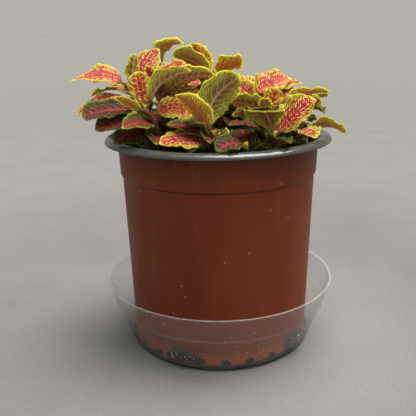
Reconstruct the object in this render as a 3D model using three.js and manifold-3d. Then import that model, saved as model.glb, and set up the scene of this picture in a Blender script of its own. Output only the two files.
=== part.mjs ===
// A potted nerve plant: leafy stems in a thermoformed nursery pot that stands in a clear saucer.
// Millimetres, +Z up. The origin is the middle of the saucer's underside, on the table, and the
// side that is seen most faces -Y.

import * as THREE from "three";
import { mergeVertices } from "three/addons/utils/BufferGeometryUtils.js";
import Module from "manifold-3d";

const wasm = await Module();
wasm.setup();

// ---- driving dimensions ----

const GAP = 0.3; // clearance kept between neighbouring pieces
const LEAF_GAP = 0.12; // and the least clearance between a leaf and its neighbours
const ROUND = 40; // sides of every turned piece

const POT = {
  rim: 60, // outermost radius of the rolled rim
  top: 114.2, // height of the rim's crest above the table
  roll: 2.6, // height of the rolled rim's arch
  collar: 53.1, // outer radius just below the rim
  collarFoot: 52.5, // outer radius at the lower end of the collar
  collarZ: 94.9, // height of the collar's lower end
  step: 1, // inward step from the collar to the wall
  foot: 48.6, // outer radius at the foot
  footZ: 2.5, // height of the foot above the table
  wall: 1,
  floorZ: 6, // underside of the raised floor
};

const NOTCH = { count: 24, radius: 2.5, height: 3.2, deep: 8, first: -87 }; // notches round the foot
const DRAIN = { count: 8, radius: 3.5, ring: 34 }; // holes through the pot's floor

const SAUCER = {
  base: 49.7, // radius of the flat underside
  ledge: 58.2, // radius at the ledge part-way up the wall
  ledgeZ: 20.6,
  rim: 62.9,
  height: 35,
  lip: 1.4, // width of the lip round the rim
  lipZ: 1.1, // and its thickness
  wall: 0.9,
  soft: 0.7, // bevel at the foot and at the ledge
  ringZ: 2.2, // height of the raised ring that carries the pot
  ringIn: 44, // inner radius of that ring
};

const SOIL = {
  z: 104, // mean height of the surface
  relief: 1.3, // height of its lumps
  lump: 0.45, // their turn in radians for each millimetre
  fall: 3.3, // drop from the middle to the wall
  hole: 12, // depth of the hole that a stem stands in
};

const STEM = { radius: 1.2, bud: 1.7 };
// The stalk is a share of a leaf's length, and so is free, from where it may not touch its own shoot.
const BLADE = {
  thick: 0.7, petiole: 1.4, stalk: 0.15, free: 0.45, narrow: 13.5,
  rows: [0.15, 0.34, 0.54, 0.74, 0.9], plainRows: [0.15, 0.4, 0.65, 0.85],
};

// Soil that has washed through the notches and lies between the pot and the saucer. Angles are in
// degrees from +X, and z is the height of the top of each heap.
const WASHED = [
  { name: "washed_out_soil_left", from: 236, to: 258, z: 9 },
  { name: "washed_out_soil_right", from: 314, to: 331, z: 12 },
];

// ---- the leafy stems at the front, placed one by one ----

// Each shoot runs from its root in the soil to its top. Each leaf springs from the stem at a share of
// its height and ends at its tip. arch lifts the midrib off the straight line at a third and at two
// thirds of the way, sweep bows it sideways, faces turns the leaf's back to a compass angle, roll and
// twist turn the blade about its midrib, fold raises both halves into a V, cup curls the edges up,
// wave ruffles them, and full and point shape the outline at its base and at its tip.
const PLAIN_LEAF = {
  arch: [4, 3], faces: null, sweep: 0, roll: 0, twist: 0, fold: 20, cup: 0, wave: 0.8, phase: 0,
  full: 0.7, point: 0.9,
};

const FRONT_SHOOTS = [
  {
    root: [-26, -20], top: [-35, -26, 130], leaves: [
      { at: 1, tip: [-39, -20, 148], wide: 12, arch: [0, 1], faces: 90, roll: 5, fold: 8, cup: -1,
        wave: 0.4, point: 0.55 },
      { at: 0.97, tip: [-12, -24, 148], wide: 13, arch: [7, 6], roll: -35, fold: 45, wave: 0.8 },
      { at: 0.9, tip: [-65, -30, 128], wide: 15, roll: -30, fold: 5, full: 1.1, point: 0.55 },
      { at: 0.95, tip: [-49, -31, 137], wide: 5.5, arch: [0, 1], roll: 60, fold: 10 },
      { at: 0.85, tip: [-11, -19, 127], wide: 18, arch: [4, 4], roll: 35, fold: 10, wave: 1,
        point: 0.6 },
      { at: 0.45, tip: [-58, -36, 122], wide: 18, arch: [8, 5], roll: -30, fold: 15, point: 0.7 },
      { at: 0.5, tip: [-51, -32, 114], wide: 16, arch: [5, 4], roll: -40, fold: 5 },
      { at: 0.6, tip: [-44, -44, 124], wide: 12, arch: [3, 3], roll: -30, fold: 10 },
    ],
  },
  {
    root: [-32, -2], top: [-45, -8, 139], leaves: [
      { at: 1, tip: [-75, -12, 143], wide: 15, arch: [8, 4], roll: -38, fold: 18, wave: 1.4,
        full: 0.6, point: 1.9 },
      { at: 0.75, tip: [-70, -20, 127], wide: 16, arch: [8, 8], roll: -8, fold: 0 },
      { at: 0.97, tip: [-41, -8, 156], wide: 8, arch: [1, 0], faces: -60, roll: 10, fold: 10,
        point: 0.6 },
      { at: 0.8, tip: [-67, 2, 134], wide: 15, arch: [7, 5], roll: 0, fold: 10 },
      { at: 0.6, tip: [-66, 10, 122], wide: 14, arch: [5, 4], roll: -10, fold: 10 },
      { at: 0.88, tip: [-30, 6, 158], wide: 17, arch: [3, 4], faces: 40, roll: 25, fold: 5 },
    ],
  },
  {
    root: [-20, -6], top: [-34, -8, 139], leaves: [
      { at: 0.9, tip: [-35, -15, 151], wide: 9, arch: [0, 1], faces: 120, roll: 10, fold: 10 },
      { at: 0.97, tip: [-31, -17, 157], wide: 12, arch: [-1, -2], faces: -50, roll: -20 },
      { at: 1, tip: [-13, -14, 154], wide: 11, arch: [5, 6], roll: 30, fold: 5 },
      { at: 0.95, tip: [-17, -5, 150], wide: 10, arch: [4, 5], roll: 45, twist: -60, fold: 15 },
      { at: 0.8, tip: [1, -17, 148], wide: 14, arch: [5, 7], roll: -40 },
      { at: 0.7, tip: [-7, -14, 139], wide: 13, roll: 40, fold: 10 },
    ],
  },
  {
    root: [-14, 16], top: [-31, 15, 145], leaves: [
      { at: 1, tip: [-17, 12, 160], wide: 10, arch: [8, 9], roll: -35, wave: 1 },
    ],
  },
  {
    root: [4, 4], top: [-4, 0, 142], leaves: [
      { at: 1, tip: [-14, 12, 160], wide: 11, arch: [3, 2], faces: 180, roll: 60, fold: 5 },
      { at: 0.85, tip: [-24, 8, 156], wide: 17, arch: [6, 8], roll: 40, fold: 10, point: 0.6 },
      { at: 0.97, tip: [14, 2, 149], wide: 14, arch: [5, 3], roll: -42, fold: 12, wave: 1.3,
        full: 0.5, point: 0.4 },
      { at: 0.95, tip: [-5, -8, 147], wide: 9, arch: [1, 1], faces: -90, fold: 10 },
    ],
  },
  {
    root: [-2, -32], top: [-2, -38, 119], leaves: [
      { at: 1, tip: [11, -36, 146], wide: 17, arch: [0, 5], faces: -82, sweep: -10, fold: 15,
        wave: 0.9, point: 0.5 },
      { at: 0.92, tip: [-19, -44, 139], wide: 12, arch: [3, 3], roll: 45, wave: 1 },
      { at: 0.45, tip: [-27, -46, 117], wide: 16, arch: [6, 4], roll: -25, fold: 5, point: 0.8 },
      { at: 0.5, tip: [5, -42, 120], wide: 10, arch: [2, 2], roll: 40, fold: 10, point: 0.6 },
      { at: 0.6, tip: [-25, -34, 123], wide: 13, arch: [5, 3], roll: -20, fold: 5 },
      { at: 0.28, tip: [-16, -47, 115], wide: 9, roll: 10, fold: 10 },
    ],
  },
  {
    root: [14, -38], top: [13, -45, 114], leaves: [
      { at: 1, tip: [-1, -56, 114], wide: 12, arch: [4, 4], roll: -25, fold: 10, point: 0.7 },
      { at: 0.8, tip: [2, -44, 117], wide: 12, arch: [5, 4], roll: -10, fold: 15 },
    ],
  },
  {
    root: [22, -26], top: [27, -34, 117], leaves: [
      { at: 1, tip: [21, -45, 131], wide: 20, arch: [3, 6], faces: -90, fold: 0, wave: 0.9,
        full: 1.1, point: 0.3 },
      { at: 0.8, tip: [5, -38, 124], wide: 13, arch: [5, 4], roll: -10, fold: 10, wave: 1 },
      { at: 0.95, tip: [46, -31, 135], wide: 17, arch: [1, 3], faces: 50, roll: 5, fold: 8,
        wave: 1, point: 0.6 },
      { at: 0.5, tip: [33, -50, 117], wide: 10, roll: -10, fold: 10 },
    ],
  },
  {
    root: [26, -8], top: [26, -14, 127], leaves: [
      { at: 1, tip: [30, -10, 138], wide: 11, arch: [0, 0], faces: -70, fold: 5, full: 0.8,
        point: 0.45 },
      { at: 0.97, tip: [39, 4, 137], wide: 11, arch: [0, 1], faces: 60, fold: 5, point: 0.5 },
      { at: 0.95, tip: [57, -14, 136], wide: 9, arch: [4, 4], roll: -40, wave: 1 },
      { at: 0.93, tip: [6, -17, 132], wide: 14, arch: [2, 2], roll: 40, wave: 1 },
      { at: 0.9, tip: [22, -24, 135], wide: 7, arch: [0, 0], faces: -90, fold: 10 },
      { at: 0.7, tip: [6, -12, 128], wide: 12, arch: [3, 3], roll: -30, fold: 10 },
    ],
  },
  {
    root: [13, 4], top: [19, -2, 132], leaves: [
      { at: 1, tip: [39, 4, 141], wide: 18, arch: [4, 5], faces: 20, roll: 30, fold: 8, wave: 1.2 },
      { at: 0.97, tip: [15, 2, 141], wide: 11, arch: [1, 1], faces: 150, roll: -20, fold: 5 },
      { at: 0.95, tip: [10, -10, 141], wide: 11, arch: [2, 1], faces: 140, roll: -10, fold: 5 },
      { at: 0.9, tip: [10, 12, 144], wide: 9, roll: 10, fold: 5 },
      { at: 0.7, tip: [47, 6, 135], wide: 15, arch: [9, 7], roll: 25, fold: 10 },
    ],
  },
  {
    root: [34, -12], top: [40, -18, 117], leaves: [
      { at: 1, tip: [65, -18, 115], wide: 12, arch: [4, 6], roll: -30, wave: 1 },
      { at: 0.9, tip: [47, -32, 116], wide: 12, roll: 5, fold: 8, point: 0.6 },
    ],
  },
  {
    root: [38, 6], top: [48, -2, 126], leaves: [
      { at: 1, tip: [51, -6, 134], wide: 9, arch: [0, 1], faces: 70, roll: 5, fold: 5, point: 0.6 },
      { at: 0.9, tip: [54, -14, 126], wide: 9, arch: [3, 3], roll: -20, fold: 25 },
    ],
  },
];

// ---- the leafy stems at the back, placed by a rule ----

const BACK = {
  seed: 11,
  rings: [
    { radius: 36, count: 6, from: 28, step: 26, height: 19, lean: 9 },
    { radius: 20, count: 2, from: 60, step: 56, height: 28, lean: 3 },
  ],
  // One pair of opposite leaves at each level, a quarter turn from the pair above it.
  levels: [
    { at: 1, rise: 24, length: 24 },
    { at: 0.8, rise: 8, length: 28 },
    { at: 0.5, rise: -4, length: 25 },
  ],
};

// ---- small helpers ----

const rad = THREE.MathUtils.degToRad;

function seeded(seed) {
  let state = seed;
  return (low, high) => {
    state = (state * 1664525 + 1013904223) % 4294967296;
    return low + ((high - low) * state) / 4294967296;
  };
}

function polar(radius, degrees, z) {
  return new THREE.Vector3(radius * Math.cos(rad(degrees)), radius * Math.sin(rad(degrees)), z);
}

function toSolid(geometry) {
  const bare = geometry.clone();
  bare.deleteAttribute("normal");
  bare.deleteAttribute("uv");
  const merged = mergeVertices(bare, 1e-4);
  return new wasm.Manifold(
    new wasm.Mesh({
      numProp: 3,
      vertProperties: new Float32Array(merged.attributes.position.array),
      triVerts: new Uint32Array(merged.index.array),
    }),
  );
}

function toGeometry(solid) {
  const mesh = solid.getMesh();
  const geometry = new THREE.BufferGeometry();
  geometry.setAttribute("position", new THREE.BufferAttribute(mesh.vertProperties, 3));
  geometry.setIndex(new THREE.BufferAttribute(mesh.triVerts, 1));
  geometry.computeVertexNormals();
  return geometry;
}

function piece(name, geometry, material) {
  const mesh = new THREE.Mesh(geometry, material);
  mesh.name = name;
  return mesh;
}

// A closed outline of [radius, z] points, turned about the Z axis.
function turned(outline, sides = ROUND) {
  const closed = outline.map(([r, z]) => new THREE.Vector2(r, z));
  if (outline[0][0] > 0) closed.push(closed[0].clone());
  const lathe = new THREE.LatheGeometry(closed, sides);
  lathe.rotateX(Math.PI / 2);
  return lathe;
}

function ellipseArc(r, z, reachR, reachZ, from, to, steps) {
  const curve = new THREE.EllipseCurve(r, z, reachR, reachZ, rad(from), rad(to), to < from, 0);
  return curve.getPoints(steps).map((p) => [p.x, p.y]);
}

function interpolate(z, z0, r0, z1, r1) {
  return r0 + ((r1 - r0) * (z - z0)) / (z1 - z0);
}

// ---- pot ----

const potOutside = (z) => interpolate(z, POT.footZ, POT.foot, POT.collarZ, POT.collarFoot - POT.step);
const potInside = (z) => potOutside(z) - POT.wall;

function potSolid() {
  const rimMiddle = (POT.rim + POT.collar - POT.wall) / 2;
  const rimHalf = POT.rim - rimMiddle;
  const rimZ = POT.top - POT.roll;
  const outline = [
    [0, POT.floorZ],
    [potInside(POT.floorZ), POT.floorZ],
    [potInside(POT.footZ), POT.footZ],
    [POT.foot, POT.footZ],
    [potOutside(POT.collarZ - POT.step), POT.collarZ - POT.step],
    [POT.collarFoot, POT.collarZ],
    ...ellipseArc(rimMiddle, rimZ, rimHalf - POT.wall, POT.roll - POT.wall, 180, 0, 4),
    ...ellipseArc(rimMiddle, rimZ, rimHalf, POT.roll, 0, 180, 6),
    [POT.collarFoot - POT.wall, POT.collarZ + POT.step / 2],
    [potInside(POT.collarZ - POT.step), POT.collarZ - POT.step / 2],
    [potInside(POT.floorZ + POT.wall), POT.floorZ + POT.wall],
    [0, POT.floorZ + POT.wall],
  ];
  let pot = toSolid(turned(outline));
  for (let i = 0; i < NOTCH.count; i++) {
    const cutter = new THREE.CylinderGeometry(NOTCH.radius, NOTCH.radius, NOTCH.deep, 8);
    cutter.scale(1, 1, NOTCH.height / NOTCH.radius);
    cutter.translate(0, POT.foot, POT.footZ);
    cutter.rotateZ(rad(NOTCH.first + (i * 360) / NOTCH.count - 90));
    pot = pot.subtract(toSolid(cutter));
  }
  for (let i = 0; i < DRAIN.count; i++) {
    const cutter = new THREE.CylinderGeometry(DRAIN.radius, DRAIN.radius, 6 * POT.wall, 12);
    cutter.rotateX(Math.PI / 2);
    const middle = polar(DRAIN.ring, ((i + 0.5) * 360) / DRAIN.count, POT.floorZ);
    cutter.translate(middle.x, middle.y, middle.z);
    pot = pot.subtract(toSolid(cutter));
  }
  return pot;
}

// ---- saucer ----

const saucerOutside = (z) => interpolate(z, 0, SAUCER.base, SAUCER.ledgeZ, SAUCER.ledge);
const saucerInside = (z) => saucerOutside(z) - SAUCER.wall;

function saucerSolid() {
  const { base, ledge, ledgeZ, rim, height, lip, lipZ, wall, soft, ringZ, ringIn } = SAUCER;
  const outline = [
    [0, 0],
    [base - soft, 0],
    [saucerOutside(soft), soft],
    [ledge, ledgeZ],
    [ledge + soft, ledgeZ + soft],
    [rim - lip + 0.4, height - lipZ - 0.3],
    [rim, height - lipZ],
    [rim, height],
    [rim - lip, height],
    [ledge + soft - wall, ledgeZ + wall],
    [ledge - wall, ledgeZ + wall / 2],
    [saucerInside(ringZ), ringZ],
    [ringIn, ringZ],
    [ringIn - wall, wall],
    [0, wall],
  ];
  return toSolid(turned(outline));
}

// ---- soil ----

// Lumps of two sizes, and a surface that falls a little towards the pot's wall.
function soilHeight(x, y) {
  const coarse = Math.sin(x * SOIL.lump + 1.3) * Math.sin(y * SOIL.lump);
  const fine = Math.sin(x * 2 * SOIL.lump - y * 1.5 * SOIL.lump);
  const far = Math.hypot(x, y) / POT.collar;
  return SOIL.z + SOIL.relief * (coarse + 0.6 * fine) - SOIL.fall * far * far;
}

function soilGeometry() {
  const rings = 6;
  const low = POT.floorZ + POT.wall + GAP;
  const edge = potInside(POT.collarZ - POT.step) - GAP;
  const top = POT.top - POT.roll;
  const wide = interpolate(SOIL.z, POT.collarZ, POT.collarFoot, top, POT.collar) - POT.wall;
  const outline = [
    [0, low],
    [potInside(low) - GAP, low],
    [edge, POT.collarZ - POT.step],
  ];
  for (let i = 0; i <= rings; i++) outline.push([(edge * (rings - i)) / rings, SOIL.z]);
  outline[3][0] = Math.min(wide - 3 * GAP, edge + GAP);
  const soil = turned(outline, 28);
  const at = soil.attributes.position;
  for (let i = 0; i < at.count; i++) {
    if (at.getZ(i) > SOIL.z - 1) at.setZ(i, soilHeight(at.getX(i), at.getY(i)));
  }
  return soil;
}

// A heap of washed-out soil fills the wedge between the pot's wall and the saucer's.
function heapGeometry({ from, to, z }) {
  const steps = 12;
  const foot = 2 * SAUCER.ringZ;
  const thin = 0.6;
  const blunt = 0.03;
  const section = (share) => {
    const swell = Math.sqrt(Math.sin(Math.PI * THREE.MathUtils.clamp(share, blunt, 1 - blunt)));
    const crumb = 0.5 * Math.sin(share * 23) + 0.3 * Math.sin(share * 51);
    const top = foot + thin + (z - foot + crumb) * swell;
    return [
      [potOutside(foot) + GAP, foot],
      [saucerInside(foot) - GAP, foot],
      [saucerInside(top) - GAP, top],
      [(potOutside(top) + saucerInside(top)) / 2, top + 0.4 * swell],
      [potOutside(top) + GAP, top],
    ];
  };
  const points = [];
  for (let i = 0; i <= steps; i++) {
    const turn = from + ((to - from) * i) / steps;
    for (const [r, height] of section(i / steps)) points.push(...polar(r, turn, height).toArray());
  }
  const side = 5;
  const faces = [];
  for (let i = 0; i < steps; i++) {
    for (let j = 0; j < side; j++) {
      const a = i * side + j;
      const b = i * side + ((j + 1) % side);
      faces.push(a, a + side, b, b, a + side, b + side);
    }
  }
  for (let j = 1; j < side - 1; j++) {
    const last = steps * side;
    faces.push(0, j, j + 1, last, last + j + 1, last + j);
  }
  const heap = new THREE.BufferGeometry();
  heap.setAttribute("position", new THREE.Float32BufferAttribute(points, 3));
  heap.setIndex(faces);
  return heap;
}

// ---- leaves ----

// Half-width of the blade at a share of its length, 1 at the widest place.
function outlineShare(share, full, point) {
  const peak = full / (full + point);
  const widest = peak ** full * (1 - peak) ** point;
  return (share ** full * (1 - share) ** point) / widest;
}

// The midrib and the direction of its left-hand side.
function midrib(leaf, base) {
  const tip = new THREE.Vector3(...leaf.tip);
  const chord = tip.clone().sub(base);
  const compass = leaf.faces === null ? Math.atan2(chord.y, chord.x) : rad(leaf.faces);
  const out = new THREE.Vector3(Math.cos(compass), Math.sin(compass), 0);
  const rise = Math.atan2(chord.z, chord.dot(out));
  const above = out.clone().multiplyScalar(-Math.sin(rise)).setZ(Math.cos(rise));
  const side = new THREE.Vector3(-out.y, out.x, 0);
  const lift = (share, arch) =>
    base.clone().addScaledVector(chord, share).addScaledVector(above, arch)
      .addScaledVector(side, leaf.sweep);
  const curve = new THREE.CubicBezierCurve3(
    base, lift(0.33, leaf.arch[0]), lift(0.68, leaf.arch[1]), tip,
  );
  return { curve, side };
}

// A point of the blade: along runs from stem to tip, across from one edge (-1) to the other (1), and
// face is 1 on the upper side and -1 on the lower one. pad grows the blade all round.
function bladePoint(leaf, { curve, side }, along, across, face, pad) {
  const tangent = curve.getTangent(along);
  const left = side.clone().addScaledVector(tangent, -side.dot(tangent)).normalize();
  const up = tangent.clone().cross(left);
  const roll = rad(leaf.roll + leaf.twist * along);
  const blade = (along - BLADE.stalk) / (1 - BLADE.stalk);
  const half =
    blade <= 0
      ? 0.8
      : Math.max(0.8 * (1 - blade), (leaf.wide / 2) * outlineShare(blade, leaf.full, leaf.point));
  const open = Math.min(1, Math.max(0, blade) * 4);
  const fold = rad(leaf.fold) * open;
  const share = ((2 * half) / leaf.wide) * open * across * across;
  const ruffle = Math.sin(5 * Math.PI * along + leaf.phase + (across > 0 ? 2 : 0));
  const lift = half * Math.abs(across) * Math.sin(fold) + share * (leaf.cup + leaf.wave * ruffle);
  const reach = across * (half * Math.cos(fold) + pad);
  const thick = BLADE.petiole + (BLADE.thick - BLADE.petiole) * open;
  const rise = lift + face * (thick / 2 / Math.cos(fold) + pad);
  return curve.getPoint(along)
    .addScaledVector(left, reach * Math.cos(roll) - rise * Math.sin(roll))
    .addScaledVector(up, reach * Math.sin(roll) + rise * Math.cos(roll));
}

// The blade from a share of its length to the tip, as one closed solid.
function leafSolid(leaf, base, from = 0, pad = 0) {
  const rib = midrib(leaf, base);
  const columns = leaf.wide < BLADE.narrow || leaf.plain ? 2 : 4;
  const stations = leaf.plain ? BLADE.plainRows : BLADE.rows;
  const wide = columns + 1;
  const points = [];
  const faces = [];
  const rows = [from, ...stations.filter((row) => row > from)];
  for (const row of rows) {
    for (const face of [1, -1]) {
      for (let j = 0; j < wide; j++) {
        points.push(...bladePoint(leaf, rib, row, (2 * j) / columns - 1, face, pad).toArray());
      }
    }
  }
  const tip = points.length / 3;
  for (const face of [1, -1]) points.push(...bladePoint(leaf, rib, 1, 0, face, pad).toArray());
  const quad = (a, b, c, d) => faces.push(a, b, c, a, c, d);
  for (let i = 0; i + 1 < rows.length; i++) {
    const here = i * 2 * wide;
    const next = here + 2 * wide;
    for (let j = 0; j + 1 < wide; j++) {
      quad(here + j, next + j, next + j + 1, here + j + 1);
      faces.push(here + wide + j, next + wide + j + 1, next + wide + j);
      faces.push(here + wide + j, here + wide + j + 1, next + wide + j + 1);
    }
    quad(here, here + wide, next + wide, next);
    quad(here + wide - 1, next + wide - 1, next + 2 * wide - 1, here + 2 * wide - 1);
  }
  const last = (rows.length - 1) * 2 * wide;
  for (let j = 0; j + 1 < wide; j++) {
    faces.push(last + j, tip, last + j + 1);
    faces.push(last + wide + j, last + wide + j + 1, tip + 1);
    quad(j, j + 1, wide + j + 1, wide + j);
  }
  quad(last, last + wide, tip + 1, tip);
  quad(last + wide - 1, tip, tip + 1, last + 2 * wide - 1);
  const blade = new THREE.BufferGeometry();
  blade.setAttribute("position", new THREE.Float32BufferAttribute(points, 3));
  blade.setIndex(faces);
  return toSolid(blade);
}

// ---- stems ----

function stemCurve({ root, top }) {
  const foot = new THREE.Vector3(root[0], root[1], SOIL.z);
  const head = new THREE.Vector3(...top);
  const bend = foot.clone().lerp(head, 0.2).setZ(foot.z + (head.z - foot.z) * 0.6);
  return new THREE.QuadraticBezierCurve3(foot, bend, head);
}

function roundBar(path, radius, steps) {
  const section = new THREE.Shape().absarc(0, 0, radius, 0, 2 * Math.PI, false);
  const settings = { extrudePath: path, steps, curveSegments: 3, bevelEnabled: false };
  return toSolid(new THREE.ExtrudeGeometry(section, settings));
}

// The stem stands straight in its hole in the soil and bends only above it.
function stemSolid(shoot, pad = 0) {
  const curve = stemCurve(shoot);
  const foot = curve.getPoint(0);
  const deep = foot.clone().setZ(SOIL.z - SOIL.hole + 1);
  const path = new THREE.CurvePath();
  path.add(new THREE.LineCurve3(deep, foot));
  path.add(curve);
  const bud = new THREE.IcosahedronGeometry(STEM.bud + pad, 0);
  const head = curve.getPoint(1);
  bud.translate(head.x, head.y, head.z);
  return roundBar(path, STEM.radius + pad, 5).add(toSolid(bud));
}

function holeSolid({ root }) {
  const hole = new THREE.CylinderGeometry(STEM.radius + GAP, STEM.radius + GAP, 2 * SOIL.hole, 8);
  hole.rotateX(Math.PI / 2);
  hole.translate(root[0], root[1], SOIL.z);
  return toSolid(hole);
}

// ---- shoots ----

function backShoots() {
  const draw = seeded(BACK.seed);
  const shoots = [];
  for (const ring of BACK.rings) {
    for (let i = 0; i < ring.count; i++) {
      const compass = ring.from + i * ring.step + draw(-5, 5);
      const root = polar(ring.radius, compass, SOIL.z);
      const head = polar(ring.radius + ring.lean, compass, SOIL.z + ring.height + draw(-3, 3));
      const shoot = { root: [root.x, root.y], top: head.toArray(), leaves: [] };
      const curve = stemCurve(shoot);
      BACK.levels.forEach((level, order) => {
        for (const half of [0, 180]) {
          const turn = compass + order * 90 + half + draw(-15, 15);
          const rise = level.rise + draw(-8, 8);
          const length = level.length + draw(-2, 3);
          const tip = curve.getPoint(level.at)
            .add(polar(length * Math.cos(rad(rise)), turn, length * Math.sin(rad(rise))));
          shoot.leaves.push({
            at: level.at, tip: tip.toArray(), wide: draw(14, 17), roll: draw(-15, 15),
            fold: draw(8, 22), phase: draw(0, 6), point: draw(0.7, 1.1), plain: true,
          });
        }
      });
      shoots.push(shoot);
    }
  }
  return shoots;
}

// A leaf that would cross a neighbour is bent clear of it: its tip is moved a little further round
// the stem, up or down at each try.
const TRIES = { rings: 8, turn: 2.4, lift: 1.1, shrink: 0.015, spokes: 8 };

function bent(leaf, base, attempt) {
  if (attempt === 0) return leaf;
  const ring = Math.ceil(attempt / TRIES.spokes);
  const spoke = (2 * Math.PI * attempt) / TRIES.spokes;
  const reach = new THREE.Vector3(...leaf.tip).sub(base);
  reach.applyAxisAngle(new THREE.Vector3(0, 0, 1), rad(TRIES.turn * ring * Math.sin(spoke)));
  reach.multiplyScalar(1 - TRIES.shrink * ring);
  reach.z += TRIES.lift * ring * Math.cos(spoke);
  return { ...leaf, tip: reach.add(base).toArray() };
}

function boxesMeet(a, b) {
  return [0, 1, 2].every((k) => a.min[k] <= b.max[k] && b.min[k] <= a.max[k]);
}

function meets(solid, others) {
  const box = solid.boundingBox();
  return others.some((other) => {
    if (!boxesMeet(box, other.box)) return false;
    return !solid.intersect(other.solid).isEmpty();
  });
}

const boxed = (solid) => ({ solid, box: solid.boundingBox() });

// Every leaf of every shoot, each at its first try that is clear of all that stands already.
function growShoots(shoots, fixed) {
  const stems = shoots.map((shoot) => boxed(stemSolid(shoot)));
  const grown = shoots.map(() => []);
  const free = shoots.map(() => []);
  shoots.forEach((shoot, me) => {
    const curve = stemCurve(shoot);
    for (const sketch of shoot.leaves) {
      const base = curve.getPoint(sketch.at);
      for (let attempt = 0; attempt <= TRIES.rings * TRIES.spokes; attempt++) {
        const leaf = bent({ ...PLAIN_LEAF, ...sketch }, base, attempt);
        const whole = leafSolid(leaf, base, 0, LEAF_GAP);
        const blade = leafSolid(leaf, base, BLADE.free, LEAF_GAP);
        const strangers = stems.filter((_, k) => k !== me).concat(...grown.filter((_, k) => k !== me));
        if (meets(whole, fixed) || meets(whole, strangers) || meets(blade, [...free[me], stems[me]])) {
          continue;
        }
        grown[me].push(boxed(leafSolid(leaf, base)));
        free[me].push(boxed(leafSolid(leaf, base, BLADE.free)));
        break;
      }
    }
  });
  return shoots.map((_, k) => grown[k].reduce((all, leaf) => all.add(leaf.solid), stems[k].solid));
}

// ---- materials ----

const paint = (color, roughness, extra = {}) =>
  new THREE.MeshStandardMaterial({ color, roughness, metalness: 0, ...extra });

const MATERIALS = {
  pot: paint("#6b2e20", 0.42),
  saucer: paint("#dfe2e0", 0.12, { transparent: true, opacity: 0.3 }),
  soil: paint("#2a2119", 0.95),
  washed: paint("#1c1712", 0.95),
  leaf: paint("#b8483f", 0.5, { side: THREE.FrontSide }),
};

// ---- assembly ----

const shoots = [...FRONT_SHOOTS, ...backShoots()];
const pot = potSolid();
const soil = shoots.reduce((left, shoot) => left.subtract(holeSolid(shoot)), toSolid(soilGeometry()));
const plant = growShoots(shoots, [boxed(pot), boxed(soil)]);

const model = new THREE.Group();
model.name = "potted_nerve_plant";
model.add(piece("saucer", toGeometry(saucerSolid()), MATERIALS.saucer));
model.add(piece("pot", toGeometry(pot), MATERIALS.pot));
model.add(piece("soil", toGeometry(soil), MATERIALS.soil));
for (const heap of WASHED) {
  model.add(piece(heap.name, toGeometry(toSolid(heapGeometry(heap))), MATERIALS.washed));
}
plant.forEach((solid, k) => {
  model.add(piece(`shoot_${String(k + 1).padStart(2, "0")}`, toGeometry(solid), MATERIALS.leaf));
});

export default model;
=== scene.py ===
"""A potted nerve plant: leafy stems in a thermoformed nursery pot that stands in a clear saucer.

Sizes are written in millimetres and turned into metres when a mesh is made. The origin is the middle
of the saucer's underside, +Z is up, and the side that is seen most faces -Y.
"""

import math

import bmesh
import bpy
import numpy as np
from mathutils import Matrix, Vector, noise
from mathutils.bvhtree import BVHTree


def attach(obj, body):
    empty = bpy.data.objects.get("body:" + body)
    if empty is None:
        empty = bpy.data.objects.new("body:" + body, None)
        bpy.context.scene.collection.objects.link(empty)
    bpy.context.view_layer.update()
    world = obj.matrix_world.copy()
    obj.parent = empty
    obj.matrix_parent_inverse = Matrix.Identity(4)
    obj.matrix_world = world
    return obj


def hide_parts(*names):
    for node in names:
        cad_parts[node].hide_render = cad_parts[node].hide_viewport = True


MM = 0.001

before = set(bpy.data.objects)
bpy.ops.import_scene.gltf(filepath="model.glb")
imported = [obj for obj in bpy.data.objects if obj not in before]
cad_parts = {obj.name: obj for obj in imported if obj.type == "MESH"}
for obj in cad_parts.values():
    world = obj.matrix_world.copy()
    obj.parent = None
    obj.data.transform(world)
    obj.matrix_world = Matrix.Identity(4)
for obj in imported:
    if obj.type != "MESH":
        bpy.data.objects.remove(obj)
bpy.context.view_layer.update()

# ---- driving dimensions, as in the solids ----

GAP = 0.3

POT_RIM, POT_TOP, POT_ROLL = 60.0, 114.2, 2.6
COLLAR, COLLAR_FOOT, COLLAR_Z, COLLAR_STEP = 53.1, 52.5, 94.9, 1.0
POT_FOOT, POT_FOOT_Z, POT_WALL, POT_FLOOR_Z = 48.6, 2.5, 1.0, 6.0
NOTCHES, NOTCH_RADIUS, NOTCH_HEIGHT, NOTCH_FIRST = 24, 2.5, 3.2, -87.0
DRAINS, DRAIN_RADIUS, DRAIN_RING = 8, 3.5, 34.0

SAUCER_BASE, SAUCER_LEDGE, SAUCER_LEDGE_Z = 49.7, 58.2, 20.6
SAUCER_RIM, SAUCER_HEIGHT, SAUCER_LIP, SAUCER_LIP_Z = 62.9, 35.0, 1.4, 1.1
SAUCER_WALL, SAUCER_SOFT, SAUCER_RING_Z, SAUCER_RING_IN = 0.9, 0.7, 2.2, 44.0

SOIL_Z, SOIL_RELIEF, SOIL_LUMP, SOIL_FALL = 104.0, 1.3, 0.45, 3.3
STEM_HOLE = 12.0
STEM_RADIUS = 1.2

STALK = 0.15  # share of a leaf's length that is its stalk
BLADE_THICK, STALK_THICK, STALK_HALF = 0.7, 1.4, 0.8

# The heaps run between two compass angles, up to a height.
WASHED = [
    dict(name="washed_out_soil_left", start=236, end=258, high=9),
    dict(name="washed_out_soil_right", start=314, end=331, high=12),
]

# A leaf that would cross a neighbour is bent clear of it, a little further at each try.
TRY_RINGS, TRY_SPOKES, TRY_TURN, TRY_LIFT, TRY_SHRINK = 8, 8, 2.4, 1.1, 0.015

BACK_SEED = 11
BACK_RINGS = [
    dict(radius=36, count=6, start=28, step=26, height=19, lean=9),
    dict(radius=20, count=2, start=60, step=56, height=28, lean=3),
]
BACK_LEVELS = [(1, 24, 24), (0.8, 8, 28), (0.5, -4, 25)]  # share of the stem, rise, length

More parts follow.
